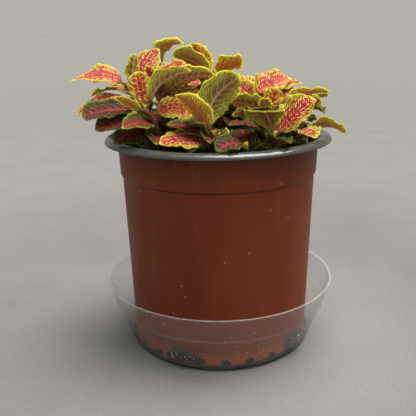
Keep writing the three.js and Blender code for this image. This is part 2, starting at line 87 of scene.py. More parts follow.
# ---- the leafy stems at the front, one by one ----

PLAIN_LEAF = dict(
    faces=None, sweep=0, roll=0, twist=0, fold=20, cup=0, wave=0.8, phase=0, full=0.7, point=0.9,
)


def leaf_at(at, tip, wide, arch=(4, 3), **shape):
    """A leaf that springs from the stem at a share of its height and ends at its tip.

    arch lifts the midrib off the straight line at a third and at two thirds of the way, sweep bows it
    sideways, faces turns the leaf's back to a compass angle, roll and twist turn the blade about its
    midrib, fold raises both halves into a V, cup curls the edges up, wave ruffles them, and full and
    point shape the outline at its base and at its tip.
    """
    return dict(PLAIN_LEAF, at=at, tip=tip, wide=wide, arch=arch, **shape)


# Each shoot runs from its root in the soil to its top.
FRONT_SHOOTS = [
    dict(root=(-26, -20), top=(-35, -26, 130), leaves=[
        leaf_at(1, (-39, -20, 148), 12, (0, 1), faces=90, roll=5, fold=8, cup=-1, wave=0.4, point=0.55),
        leaf_at(0.97, (-12, -24, 148), 13, (7, 6), roll=-35, fold=45),
        leaf_at(0.9, (-65, -30, 128), 15, roll=-30, fold=5, full=1.1, point=0.55),
        leaf_at(0.95, (-49, -31, 137), 5.5, (0, 1), roll=60, fold=10),
        leaf_at(0.85, (-11, -19, 127), 18, (4, 4), roll=35, fold=10, wave=1, point=0.6),
        leaf_at(0.45, (-58, -36, 122), 18, (8, 5), roll=-30, fold=15, point=0.7),
        leaf_at(0.5, (-51, -32, 114), 16, (5, 4), roll=-40, fold=5),
        leaf_at(0.6, (-44, -44, 124), 12, (3, 3), roll=-30, fold=10),
    ]),
    dict(root=(-32, -2), top=(-45, -8, 139), leaves=[
        leaf_at(1, (-75, -12, 143), 15, (8, 4), roll=-38, fold=18, wave=1.4, full=0.6, point=1.9),
        leaf_at(0.75, (-70, -20, 127), 16, (8, 8), roll=-8, fold=0),
        leaf_at(0.97, (-41, -8, 156), 8, (1, 0), faces=-60, roll=10, fold=10, point=0.6),
        leaf_at(0.8, (-67, 2, 134), 15, (7, 5), fold=10),
        leaf_at(0.6, (-66, 10, 122), 14, (5, 4), roll=-10, fold=10),
        leaf_at(0.88, (-30, 6, 158), 17, (3, 4), faces=40, roll=25, fold=5),
    ]),
    dict(root=(-20, -6), top=(-34, -8, 139), leaves=[
        leaf_at(0.9, (-35, -15, 151), 9, (0, 1), faces=120, roll=10, fold=10),
        leaf_at(0.97, (-31, -17, 157), 12, (-1, -2), faces=-50, roll=-20),
        leaf_at(1, (-13, -14, 154), 11, (5, 6), roll=30, fold=5),
        leaf_at(0.95, (-17, -5, 150), 10, (4, 5), roll=45, twist=-60, fold=15),
        leaf_at(0.8, (1, -17, 148), 14, (5, 7), roll=-40),
        leaf_at(0.7, (-7, -14, 139), 13, roll=40, fold=10),
    ]),
    dict(root=(-14, 16), top=(-31, 15, 145), leaves=[
        leaf_at(1, (-17, 12, 160), 10, (8, 9), roll=-35, wave=1),
    ]),
    dict(root=(4, 4), top=(-4, 0, 142), leaves=[
        leaf_at(1, (-14, 12, 160), 11, (3, 2), faces=180, roll=60, fold=5),
        leaf_at(0.85, (-24, 8, 156), 17, (6, 8), roll=40, fold=10, point=0.6),
        leaf_at(0.97, (14, 2, 149), 14, (5, 3), roll=-42, fold=12, wave=1.3, full=0.5, point=0.4),
        leaf_at(0.95, (-5, -8, 147), 9, (1, 1), faces=-90, fold=10),
    ]),
    dict(root=(-2, -32), top=(-2, -38, 119), leaves=[
        leaf_at(1, (11, -36, 146), 17, (0, 5), faces=-82, sweep=-10, fold=15, wave=0.9, point=0.5),
        leaf_at(0.92, (-19, -44, 139), 12, (3, 3), roll=45, wave=1),
        leaf_at(0.45, (-27, -46, 117), 16, (6, 4), roll=-25, fold=5, point=0.8),
        leaf_at(0.5, (5, -42, 120), 10, (2, 2), roll=40, fold=10, point=0.6),
        leaf_at(0.6, (-25, -34, 123), 13, (5, 3), roll=-20, fold=5),
        leaf_at(0.28, (-16, -47, 115), 9, roll=10, fold=10),
    ]),
    dict(root=(14, -38), top=(13, -45, 114), leaves=[
        leaf_at(1, (-1, -56, 114), 12, (4, 4), roll=-25, fold=10, point=0.7),
        leaf_at(0.8, (2, -44, 117), 12, (5, 4), roll=-10, fold=15),
    ]),
    dict(root=(22, -26), top=(27, -34, 117), leaves=[
        leaf_at(1, (21, -45, 131), 20, (3, 6), faces=-90, fold=0, wave=0.9, full=1.1, point=0.3),
        leaf_at(0.8, (5, -38, 124), 13, (5, 4), roll=-10, fold=10, wave=1),
        leaf_at(0.95, (46, -31, 135), 17, (1, 3), faces=50, roll=5, fold=8, wave=1, point=0.6),
        leaf_at(0.5, (33, -50, 117), 10, roll=-10, fold=10),
    ]),
    dict(root=(26, -8), top=(26, -14, 127), leaves=[
        leaf_at(1, (30, -10, 138), 11, (0, 0), faces=-70, fold=5, full=0.8, point=0.45),
        leaf_at(0.97, (39, 4, 137), 11, (0, 1), faces=60, fold=5, point=0.5),
        leaf_at(0.95, (57, -14, 136), 9, (4, 4), roll=-40, wave=1),
        leaf_at(0.93, (6, -17, 132), 14, (2, 2), roll=40, wave=1),
        leaf_at(0.9, (22, -24, 135), 7, (0, 0), faces=-90, fold=10),
        leaf_at(0.7, (6, -12, 128), 12, (3, 3), roll=-30, fold=10),
    ]),
    dict(root=(13, 4), top=(19, -2, 132), leaves=[
        leaf_at(1, (39, 4, 141), 18, (4, 5), faces=20, roll=30, fold=8, wave=1.2),
        leaf_at(0.97, (15, 2, 141), 11, (1, 1), faces=150, roll=-20, fold=5),
        leaf_at(0.95, (10, -10, 141), 11, (2, 1), faces=140, roll=-10, fold=5),
        leaf_at(0.9, (10, 12, 144), 9, roll=10, fold=5),
        leaf_at(0.7, (47, 6, 135), 15, (9, 7), roll=25, fold=10),
    ]),
    dict(root=(34, -12), top=(40, -18, 117), leaves=[
        leaf_at(1, (65, -18, 115), 12, (4, 6), roll=-30, wave=1),
        leaf_at(0.9, (47, -32, 116), 12, roll=5, fold=8, point=0.6),
    ]),
    dict(root=(38, 6), top=(48, -2, 126), leaves=[
        leaf_at(1, (51, -6, 134), 9, (0, 1), faces=70, roll=5, fold=5, point=0.6),
        leaf_at(0.9, (54, -14, 126), 9, (3, 3), roll=-20, fold=25),
    ]),
]


# ---- small helpers ----


def seeded(seed):
    """Evenly spread numbers, the same in each run."""
    state = seed

    def draw(low, high):
        nonlocal state
        state = (state * 1664525 + 1013904223) % 4294967296
        return low + (high - low) * state / 4294967296

    return draw


def polar(radius, degrees, z):
    turn = math.radians(degrees)
    return np.array([radius * math.cos(turn), radius * math.sin(turn), z])


def unit(v):
    return v / np.linalg.norm(v, axis=-1, keepdims=True)


def smooth_step(low, high, x):
    share = np.clip((np.asarray(x, float) - low) / (high - low), 0, 1)
    return share * share * (3 - 2 * share)


def interpolate(z, z0, r0, z1, r1):
    return r0 + (r1 - r0) * (z - z0) / (z1 - z0)


def pot_outside(z):
    return interpolate(z, POT_FOOT_Z, POT_FOOT, COLLAR_Z, COLLAR_FOOT - COLLAR_STEP)


def pot_inside(z):
    return pot_outside(z) - POT_WALL


def saucer_outside(z):
    return interpolate(z, 0, SAUCER_BASE, SAUCER_LEDGE_Z, SAUCER_LEDGE)


def saucer_inside(z):
    return saucer_outside(z) - SAUCER_WALL


def ring(radius, z, sides):
    turns = np.arange(sides) * 2 * math.pi / sides
    return np.stack([radius * np.cos(turns), radius * np.sin(turns), np.full(sides, z)], 1)


def belts(count, sides, inward=False):
    """The faces between rings of points that follow on each other; inward turns them over."""
    faces = []
    for i in range(count - 1):
        for j in range(sides):
            k = (j + 1) % sides
            face = [i * sides + j, i * sides + k, (i + 1) * sides + k, (i + 1) * sides + j]
            faces.append([face[0], *face[:0:-1]] if inward else face)
    return faces


def closed_rings(rings, bottom, top):
    """Points and faces of a skin over rings of points, with one more point at each end."""
    sides = len(rings[0])
    verts = np.concatenate([*rings, [bottom], [top]])
    faces = belts(len(rings), sides)
    first, last = len(verts) - 2, len(verts) - 1
    end = (len(rings) - 1) * sides
    for j in range(sides):
        k = (j + 1) % sides
        faces += [[first, k, j], [last, end + j, end + k]]
    return verts, faces


def make_piece(name, points, faces, materials, slot=None, nodes=(), slots=None, **attributes):
    """A smooth mesh of points in millimetres. slots gives each face's material."""
    mesh = bpy.data.meshes.new(name)
    mesh.from_pydata((np.asarray(points, float) * MM).tolist(), [], faces)
    for material in materials:
        mesh.materials.append(material)
    if slots is not None:
        mesh.polygons.foreach_set("material_index", slots)
    mesh.polygons.foreach_set("use_smooth", [True] * len(mesh.polygons))
    for key, values in attributes.items():
        attribute = mesh.attributes.new(key, "FLOAT_VECTOR", "POINT")
        attribute.data.foreach_set("vector", np.asarray(values, np.float32).ravel())
    mesh.update()
    piece = bpy.data.objects.new(name, mesh)
    bpy.context.scene.collection.objects.link(piece)
    if slot:
        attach(piece, "root")
    if nodes:
        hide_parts(*nodes)
    return piece


class Parts:
    """Collects the points, faces and point values of one mesh."""

    def __init__(self, *keys):
        self.points, self.faces, self.slots = [], [], []
        self.values = {key: [] for key in keys}
        self.count = 0

    def add(self, points, faces, slots=0, **values):
        points = np.asarray(points, float).reshape(-1, 3)
        self.points.append(points)
        self.faces += [[i + self.count for i in face] for face in faces]
        self.slots += slots if isinstance(slots, list) else [slots] * len(faces)
        for key, column in self.values.items():
            column.append(np.broadcast_to(np.asarray(values.get(key, (0, 0, 0)), float), points.shape))
        self.count += len(points)

    def piece(self, name, materials, slot=None, nodes=()):
        values = {key: np.concatenate(column) for key, column in self.values.items()}
        points = np.concatenate(self.points)
        return make_piece(name, points, self.faces, materials, slot, nodes, self.slots, **values)


# ---- shader helpers ----


def srgb(red, green, blue):
    """A colour from its 0 to 255 screen values."""
    shares = [c / 255 for c in (red, green, blue)]
    return (*[((c + 0.055) / 1.055) ** 2.4 if c > 0.04 else c / 12.92 for c in shares], 1.0)


class Value:
    """What a node gives, for sums and products like those of plain numbers."""

    def __init__(self, shader, socket):
        self.shader, self.socket = shader, socket

    def __add__(self, other):
        return self.shader.math("ADD", self, other)

    def __sub__(self, other):
        return self.shader.math("SUBTRACT", self, other)

    def __rsub__(self, other):
        return self.shader.math("SUBTRACT", other, self)

    def __mul__(self, other):
        return self.shader.math("MULTIPLY", self, other)

    def __truediv__(self, other):
        return self.shader.math("DIVIDE", self, other)

    def __abs__(self):
        return self.shader.math("ABSOLUTE", self)


class Shader:
    """A short way to write a material's nodes."""

    def __init__(self, name):
        self.material = bpy.data.materials.new(name)
        self.material.use_nodes = True
        self.tree = self.material.node_tree
        self.tree.nodes.clear()

    def node(self, kind, *values, out=0, settings=None, **inputs):
        """Makes a node. Its first inputs are given in their order, the others by name."""
        made = self.tree.nodes.new("ShaderNode" + kind)
        for key, value in (settings or {}).items():
            setattr(made, key, value)
        for socket, value in zip(made.inputs, values):
            self.plug(socket, value)
        for key, value in inputs.items():
            self.plug(made.inputs[key.replace("_", " ")], value)
        return Value(self, made.outputs[out])

    def plug(self, socket, value):
        if isinstance(value, Value):
            self.tree.links.new(value.socket, socket)
        else:
            socket.default_value = value

    def math(self, operation, *values):
        return self.node("Math", *values, settings={"operation": operation})

    def most(self, first, *others):
        """The largest of some values."""
        for other in others:
            first = self.math("MAXIMUM", first, other)
        return first

    def step(self, value, low, high, start=0.0, end=1.0):
        """Runs smoothly from start to end as value goes from low to high."""
        settings = {"interpolation_type": "SMOOTHSTEP"}
        return self.node("MapRange", value, low, high, start, end, settings=settings)

    def fall(self, value, low, high, start=1.0):
        """Runs smoothly from start to 0 as value goes from low to high."""
        return self.step(value, low, high, start, 0.0)

    def mix(self, share, a, b):
        """Goes from colour a to colour b. A plain colour is written in 0 to 255 screen values."""
        made = self.tree.nodes.new("ShaderNodeMix")
        made.data_type = "RGBA"
        for index, value in ((0, share), (6, a), (7, b)):
            self.plug(made.inputs[index], srgb(*value) if isinstance(value, tuple) else value)
        return Value(self, made.outputs[2])

    def split(self, vector):
        x = self.node("SeparateXYZ", vector)
        return [Value(self, socket) for socket in x.socket.node.outputs]

    def point_value(self, key):
        return self.split(self.node("Attribute", out="Vector", settings={"attribute_name": key}))

    def place(self):
        """The point on the object, in millimetres."""
        coordinates = self.node("TexCoord", out="Object")
        return self.node("VectorMath", Vector=coordinates, Scale=1 / MM, settings={"operation": "SCALE"})

    def height(self):
        return self.split(self.place())[2]

    def grain(self, scale, detail=3.0, roughness=0.5, squeeze=None):
        """Noise; squeeze makes it finer by a factor along each axis."""
        place = self.place()
        if squeeze:
            place = self.node("VectorMath", place, squeeze, settings={"operation": "MULTIPLY"})
        return self.node("TexNoise", Vector=place, Scale=scale, Detail=detail, Roughness=roughness)

    def dots(self, scale):
        """The distance to the nearest of many scattered points."""
        return self.node("TexVoronoi", Vector=self.place(), Scale=scale, Randomness=1.0)

    def bump(self, height, distance):
        return self.node("Bump", Height=height, Distance=distance * MM, Strength=1.0)

    def body(self, colour, roughness, **inputs):
        return self.node("BsdfPrincipled", Base_Color=colour, Roughness=roughness, **inputs)

    def finish(self, surface):
        output = self.tree.nodes.new("ShaderNodeOutputMaterial")
        self.plug(output.inputs["Surface"], surface)
        return self.material


# ---- leaf materials ----

# The point values of a leaf. "vein" is the way along the midrib less the slant of the side veins, the
# way out along them, and the leaf's own number. "rim" is the distance to the edge in millimetres, the
# share of the way to the edge, and the share of the way to the tip. "tone" is age, which also paints
# shade on leaves that lie in shade, pinkness, which is partly painted light, and a painted glow of
# light from behind.
VEIN_STEP = 3.1  # millimetres between side veins, along the midrib
VEIN_SHIFT = 20.5  # steps that keep the count of side veins above 0


def vein_pattern(shader, cell_along, cell_out):
    """Masks for the net of small veins, the side veins and the midrib, and the leaf's rim values."""
    slant, out, number = shader.point_value("vein")
    edge, across, along = shader.point_value("rim")
    wobble = shader.grain(0.9, 2.0) * 1.1 - 0.55
    x = (slant + wobble) / cell_along + number * 37.0
    cells = shader.node(
        "TexVoronoi", Vector=shader.node("CombineXYZ", x, out / cell_out), Scale=1.0, Randomness=0.85,
        settings={"feature": "DISTANCE_TO_EDGE", "voronoi_dimensions": "2D"},
    )
    phase = shader.math("FRACT", slant / VEIN_STEP + (number + VEIN_SHIFT))
    side = shader.fall(abs(phase - 0.5), 0.05, 0.17)
    side = side * shader.fall(across, 0.6, 0.95)
    midrib = shader.fall(out, 0.35, 1.1)
    return cells, side, midrib, edge, across, along


def leaf_surface(shader, colour, roughness, normal, through):
    """A blade that lets part of the light through, in a paler colour."""
    body = shader.body(colour, roughness, Normal=normal, Specular_IOR_Level=0.28)
    paler = shader.node("Gamma", Color=colour, Gamma=0.55)
    thin = shader.node("BsdfTranslucent", Color=paler, Normal=normal)
    return shader.finish(shader.node("MixShader", through, body, thin))


def upper_side():
    shader = Shader("leaf_upper_side")
    cells, side, midrib, edge, across, along = vein_pattern(shader, 1.3, 3.1)
    age_and_shade, pink, painted_glow = shader.point_value("tone")
    # Young leaves are pink with yellow dashes, old ones dark green with crimson veins. The old tone and
    # a lower pinkness also paint shade, and a painted glow turns a leaf with light behind it orange.
    blush = pink * shader.step(shader.grain(0.22), 0.3, 0.65, 0.35, 1.0)
    ground = shader.mix(blush, (192, 24, 38), (250, 104, 108))
    old_and_shaded = shader.mix(shader.most(side, midrib), (116, 24, 34), (196, 54, 62))
    ground = shader.mix(shader.step(age_and_shade, 0.15, 0.95), ground, old_and_shaded)
    ground = shader.mix(painted_glow, ground, (232, 98, 26))
    inner_dash = shader.mix(shader.step(pink, 0.1, 0.5), (226, 178, 66), (252, 232, 146))
    dash = shader.mix(shader.step(edge, 0.5, 5.0), (240, 238, 84), inner_dash)
    dash = shader.mix(shader.step(age_and_shade, 0.35, 0.8), dash, (52, 76, 28))
    # The margin gets painted cream highlights in places.
    painted_margin_highlight = shader.step(shader.grain(0.3, 2.0), 0.5, 0.68)
    margin = shader.mix(painted_margin_highlight, (255, 251, 90), (255, 251, 170))
    margin = shader.mix(shader.step(age_and_shade, 0.35, 1.0), margin, (110, 136, 42))
    # The patches between the small veins grow towards the edge, and with age.
    least = shader.step(across, 0.1, 0.95, age_and_shade * -0.16 + 0.3, age_and_shade * -0.12 + 0.1)
    patch = shader.step(cells - least, -0.015, 0.045) * (1 - side * 0.9) * (1 - midrib)
    colour = shader.mix(patch, ground, dash)
    ragged = shader.grain(1.3) * 1.2 - 0.6
    border = shader.fall(edge + ragged, 0.35, 1.0) * shader.step(along, 0.17, 0.3)
    colour = shader.mix(border, colour, margin)
    colour = shader.mix(shader.fall(along, 0.15, 0.22), colour, (150, 118, 70))
    fine = shader.grain(9.0, 2.0)
    normal = shader.bump(shader.step(cells, 0.0, 0.22) * 0.75 + fine * 0.25, 0.65)
    return leaf_surface(shader, colour, fine * 0.16 + 0.36, normal, border * 0.2 + 0.34)


def under_side():
    shader = Shader("leaf_underside")
    cells, side, midrib, edge, across, along = vein_pattern(shader, 1.35, 2.4)
    age_and_shade, _, painted_glow = shader.point_value("tone")
    # Olive patches between tan veins turn to lime dashes near the edge. The old tone darkens them, which
    # also paints shade, and a painted glow turns a leaf with light behind it gold.
    ground = shader.mix(age_and_shade, (124, 126, 46), (58, 60, 26))
    ground = shader.mix(shader.step(shader.grain(0.22), 0.45, 0.68, 0.0, 0.6), ground, (96, 56, 30))
    ground = shader.mix(painted_glow, ground, (230, 158, 42))
    dash = shader.mix(painted_glow, (222, 238, 58), (255, 226, 72))
    dash = shader.mix(age_and_shade, dash, (76, 96, 30))
    patch = shader.step(cells - 0.12, -0.02, 0.05) * shader.step(across, 0.25, 0.6)
    patch_colour = shader.mix(patch, ground, dash)
    vein = shader.mix(age_and_shade, (226, 198, 142), (118, 76, 58))
    vein = shader.mix(painted_glow, vein, (150, 66, 26))
    margin = shader.mix(shader.step(age_and_shade, 0.5, 1.0), (255, 252, 78), (100, 124, 38))
    net = shader.fall(cells, 0.02, 0.13, painted_glow * 0.3 + 0.5)
    lines = shader.most(net, side * 0.85, midrib)
    colour = shader.mix(lines, patch_colour, vein)
    ragged = shader.grain(1.3) - 0.5
    border = shader.fall(edge + ragged, 0.25, 0.8) * shader.step(along, 0.17, 0.3)
    colour = shader.mix(border, colour, margin)
    colour = shader.mix(shader.fall(along, 0.15, 0.25), colour, (158, 112, 84))
    normal = shader.bump(lines * 0.75 + shader.grain(9.0, 2.0) * 0.25, 0.42)
    return leaf_surface(shader, colour, 0.5, normal, border * 0.2 + 0.4)


def stem_skin():
    shader = Shader("stem_skin")
    streak = shader.grain(1.4, 4.0, 0.6)
    # Painted shade: the stem is darker low down, under the crown.
    high = shader.step(shader.height(), SOIL_Z + 12, SOIL_Z + 38)
    colour = shader.mix(high, (60, 48, 31), (130, 88, 66))
    colour = shader.mix(shader.step(streak, 0.35, 0.7), colour, (128, 58, 46))
    return shader.finish(shader.body(colour, 0.55, Normal=shader.bump(streak, 0.15)))


def hair_skin():
    shader = Shader("stem_hair")
    colour = shader.mix(shader.grain(0.8), (206, 190, 160), (170, 140, 110))
    return shader.finish(shader.body(colour, 0.5))


# ---- leaves ----

ROWS, COLUMNS = 38, 20
UPPER, UNDER, SKIN, HAIR = range(4)  # places of a shoot's materials
STALK_ROWS = 11  # rows that may touch the stem and the leaf opposite
FINE_THICK = 0.42  # the blade's thickness here, less than in the solids


def outline_share(share, full, point):
    """Half-width of the blade at a share of its length, 1 at the widest place."""
    peak = full / (full + point)
    widest = peak**full * (1 - peak) ** point
    share = np.clip(share, 0, 1)
    return share**full * (1 - share) ** point / widest


def midrib_curve(leaf, base):
    """The four control points of the midrib, and the direction of its left-hand side."""
    tip = np.array(leaf["tip"], float)
    chord = tip - base
    if leaf["faces"] is None:
        compass = math.atan2(chord[1], chord[0])
    else:
        compass = math.radians(leaf["faces"])
    out = np.array([math.cos(compass), math.sin(compass), 0])
    rise = math.atan2(chord[2], chord @ out)
    above = np.array([-math.sin(rise) * out[0], -math.sin(rise) * out[1], math.cos(rise)])
    side = np.array([-out[1], out[0], 0])
    bow = side * leaf["sweep"]
    near = base + chord * 0.33 + above * leaf["arch"][0] + bow
    far = base + chord * 0.68 + above * leaf["arch"][1] + bow
    return (base, near, far, tip), side


def midrib_frame(leaf, base, along):
    """Points of the midrib with the blade's sideways and upward directions."""
    (a, b, c, d), side = midrib_curve(leaf, base)
    s, r = along, 1 - along
    middle = r**3 * a + 3 * r * r * s * b + 3 * r * s * s * c + s**3 * d
    tangent = unit(3 * r * r * (b - a) + 6 * r * s * (c - b) + 3 * s * s * (d - c))
    left = unit(side - tangent * (tangent @ side)[:, None])
    up = np.cross(tangent, left)
    turn = np.radians(leaf["roll"] + leaf["twist"] * along)
    return middle, np.cos(turn) * left + np.sin(turn) * up, np.cos(turn) * up - np.sin(turn) * left


def blade_middle(leaf, base, along, across, draw):
    """The blade's middle surface as rows of points, its half-width, how far it is open, and its up."""
    middle, left, up = midrib_frame(leaf, base, along)
    blade = (along - STALK) / (1 - STALK)
    shape = leaf["wide"] / 2 * outline_share(blade, leaf["full"], leaf["point"])
    half = np.where(blade <= 0, STALK_HALF, np.maximum(STALK_HALF * (1 - blade), shape))
    opened = np.clip(blade * 4, 0, 1)
    fold = np.radians(leaf["fold"]) * opened
    # The outline is a little uneven, and the edge has finer ruffles than the blade's own wave. The last
    # two phases are only drawn, so that later draws keep their places.
    phases = [draw(0, 2 * math.pi) for _ in range(6)]
    s, t = along, across
    right = (t > 0).astype(float)
    uneven = 0.04 * np.sin(31 * s + phases[0] + 2.1 * right) + 0.03 * np.sin(53 * s + phases[1] - right)
    half_here = half * (1 + uneven * opened * np.abs(t) ** 2)
    share = 2 * half / leaf["wide"] * opened
    ruffle = np.sin(5 * math.pi * s + leaf["phase"] + 2 * right)
    fine = 0.45 * np.sin(34 * s + phases[2] + 1.7 * right)
    fine = fine + 0.22 * np.sin(61 * s + phases[3] - 2.3 * right)
    curl = draw(-0.6, 1.4)
    lift = half * np.abs(t) * np.sin(fold)
    lift = lift + share * t * t * (leaf["cup"] + leaf["wave"] * ruffle)
    lift = lift + share * (np.abs(t) ** 5 * fine + np.abs(t) ** 9 * curl)
    reach = t * half_here * np.cos(fold)
    points = middle[:, None, :] + left[:, None, :] * reach[..., None] + up[:, None, :] * lift[..., None]
    return points, half, opened, up


def leaf_values(along, across, half, length, number):
    """The point values that the leaf materials read."""
    out = np.abs(across) * half
    slant = along * length - 0.72 * out - 0.045 * out * out
    edge = np.minimum((1 - np.abs(across)) * half, (1 - along) * length * 0.5)
    vein = np.stack([slant, out * 1.25, np.full_like(out, number)], -1)
    rim = np.stack(np.broadcast_arrays(edge, np.abs(across), along), -1)
    return vein, rim


def blade_relief(along, across, half, opened, vein, rim):
    """How far the upper side and the underside stand off the blade's middle surface."""
    phase = np.mod(vein[..., 0] / VEIN_STEP + vein[..., 2] + VEIN_SHIFT, 1) - 0.5
    side_vein = np.exp(-((phase / 0.13) ** 2)) * (1 - smooth_step(0.7, 0.98, rim[..., 1]))
    near_rib = np.exp(-((vein[..., 1] / 0.75) ** 2))
    quilt = 0.5 - 0.5 * np.cos(2 * math.pi * phase)
    body = 0.5 * (STALK_THICK * (1 - opened) + FINE_THICK * opened)
    blade_edge, stalk_edge = [np.sqrt(np.clip(1 - across**power, 0, 1)) for power in (8, 2)]
    pinch = blade_edge * opened + stalk_edge * (1 - opened)
    fade = (1 - smooth_step(0.8, 1.0, rim[..., 1])) * opened * smooth_step(0, 3, half)
    rib = 0.42 * near_rib * (1 - along * 0.7)
    above = body * pinch * 0.8 + fade * (0.3 * quilt - 0.12 - 0.16 * near_rib)
    below = body * pinch + fade * (0.16 * side_vein + rib - 0.22 * quilt)
    return above[..., None], below[..., None]


def shell_rows(upper, lower, tip):
    """The upper side's rows, the underside's without the edges that both share, and the tip."""
    return np.concatenate([upper[:ROWS].reshape(-1, 3), lower[:ROWS, 1:-1].reshape(-1, 3), tip[None]])


def shell_faces():
    """Faces of a closed blade whose points are in the order of shell_rows, and their materials."""
    width = COLUMNS + 1
    top = np.arange(ROWS * width).reshape(ROWS, width)
    bottom = top.copy()
    bottom[:, 1:-1] = top.size + np.arange(ROWS * (width - 2)).reshape(ROWS, width - 2)
    tip = top.size + ROWS * (width - 2)
    top, bottom = top.tolist(), bottom.tolist()
    faces = []
    for i in range(ROWS - 1):
        for j in range(COLUMNS):
            faces.append([top[i][j], top[i + 1][j], top[i + 1][j + 1], top[i][j + 1]])
            faces.append([bottom[i][j], bottom[i][j + 1], bottom[i + 1][j + 1], bottom[i + 1][j]])
    for j in range(COLUMNS):
        faces.append([top[-1][j], tip, top[-1][j + 1]])
        faces.append([bottom[-1][j], bottom[-1][j + 1], tip])
        faces.append(list(dict.fromkeys([top[0][j], top[0][j + 1], bottom[0][j + 1], bottom[0][j]])))
    return faces, [UPPER, UNDER] * (ROWS - 1) * COLUMNS + [UPPER, UNDER, UNDER] * COLUMNS


LEAF_FACES, LEAF_SLOTS = shell_faces()


def leaf_mesh(leaf, base, draw):
    """Points and point values of one leaf.

    It is one closed blade with its stalk: quilted above, ribbed below, thin at the edge. along is a
    column of shares of the length, and across a row of shares of the half-width.
    """
    share = np.linspace(0, 1, ROWS + 1)[:, None]
    along = 0.5 * share + 0.5 * (1 - (1 - share) ** 1.5)
    spread = np.linspace(-1, 1, COLUMNS + 1)[None, :]
    across = np.sign(spread) * (0.35 * np.abs(spread) + 0.65 * (1 - (1 - np.abs(spread)) ** 1.4))
    points, half, opened, up = blade_middle(leaf, base, along, across, draw)
    length = np.linalg.norm(np.array(leaf["tip"]) - base)
    vein, rim = leaf_values(along, across, half, length, draw(0, 1))
    outward = np.cross(np.gradient(points, axis=0), np.gradient(points, axis=1))
    flat = np.linalg.norm(outward, axis=-1) < 1e-6
    outward[flat] = np.broadcast_to(up[:, None, :], outward.shape)[flat]
    outward = unit(outward)
    above, below = blade_relief(along, across, half, opened, vein, rim)
    end = (ROWS, COLUMNS // 2)
    verts = shell_rows(points + outward * above, points - outward * below, points[end])
    return verts, dict(vein=shell_rows(vein, vein, vein[end]), rim=shell_rows(rim, rim, rim[end]))


def blade_tree(verts):
    """The leaf without its stalk, for finding out what it meets."""
    return BVHTree.FromPolygons(verts.tolist(), LEAF_FACES[STALK_ROWS * 2 * COLUMNS:])


def add_leaf(parts, leaf, base, tone, draw):
    verts, values = leaf_mesh(leaf, base, draw)
    parts.add(verts, LEAF_FACES, LEAF_SLOTS, tone=tone, **values)
    return blade_tree(verts)


# ---- stems ----

STEM_STEPS, STEM_SIDES, SWELLING = 30, 12, 0.28
HAIRS, HAIR_HALF = 170, 0.045


def stem_points(shoot, share):
    """Points of the stem at shares of its height above the soil."""
    foot = np.array([*shoot["root"], SOIL_Z], float)
    head = np.array(shoot["top"], float)
    bend = foot + (head - foot) * 0.2
    bend[2] = foot[2] + (head[2] - foot[2]) * 0.6
    h = np.atleast_1d(np.asarray(share, float))[:, None]
    return (1 - h) ** 2 * foot + 2 * h * (1 - h) * bend + h * h * head


def tube(points, radii, sides):
    """A closed round bar through the points."""
    points = np.asarray(points, float)
    tangent = unit(np.gradient(points, axis=0))
    reference = np.array([1.0, 0.0, 0.0])
    rings = []
    for place, ahead, radius in zip(points, tangent, radii):
        x = unit(reference - ahead * (reference @ ahead))
        y = np.cross(ahead, x)
        turns = np.arange(sides) * 2 * math.pi / sides
        rings.append(place + radius * (np.cos(turns)[:, None] * x + np.sin(turns)[:, None] * y))
        reference = x
    return closed_rings(rings, points[0], points[-1])


def stem_bar(shoot):
    """The stem, with a swelling where each pair of leaves springs from it."""
    share = np.linspace(0, 1, STEM_STEPS)
    above = stem_points(shoot, share)
    below = np.linspace(STEM_HOLE - 1, 0.5, 5)[:, None] * np.array([[0, 0, -1]]) + above[0]
    radii = STEM_RADIUS * (1.02 - 0.28 * share)
    for level in {leaf["at"] for leaf in shoot["leaves"]}:
        away = (share - level) * np.linalg.norm(above[-1] - above[0])
        radii = radii + SWELLING * np.exp(-((away / 1.1) ** 2))
    radii = np.concatenate([np.full(len(below), radii[0]), radii])
    return tube(np.concatenate([below, above]), radii, STEM_SIDES)


def add_bud(parts, shoot, draw):
    """A pair of young leaves, still folded, at the top of the stem."""
    head = stem_points(shoot, 1)[0]
    compass = draw(0, 180)
    for half in (0, 180):
        young = leaf_at(1, head + polar(1.5, compass + half, 3.0), 2.2, (0.6, 0.4), fold=35, wave=0.1)
        add_leaf(parts, young, head - np.array([0, 0, 0.6]), (0.1, 0.6, 0.4), draw)


def add_hairs(parts, shoot, draw):
    """Short fine hairs all over the stem."""
    shares = np.array([draw(0.02, 0.98) for _ in range(HAIRS)])
    places = stem_points(shoot, shares)
    ahead = unit(stem_points(shoot, shares + 0.01) - places)
    for place, forward, share in zip(places, ahead, shares):
        turn = draw(0, 2 * math.pi)
        x = unit(np.cross(forward, [0.3, 0.9, 0.1]))
        y = np.cross(forward, x)
        out = math.cos(turn) * x + math.sin(turn) * y
        root = place + out * STEM_RADIUS * (0.95 - 0.25 * share)
        tip = root + out * draw(0.5, 1.1) + forward * draw(-0.3, 0.3)
        sideways = unit(np.cross(out, forward)) * HAIR_HALF
        verts = [root - sideways, root + sideways, root + forward * 0.08, tip]
        parts.add(verts, [[0, 1, 3], [1, 2, 3], [2, 0, 3], [0, 2, 1]], HAIR)


# ---- shoots ----

SHOOT_SEED = 100  # each shoot adds its number


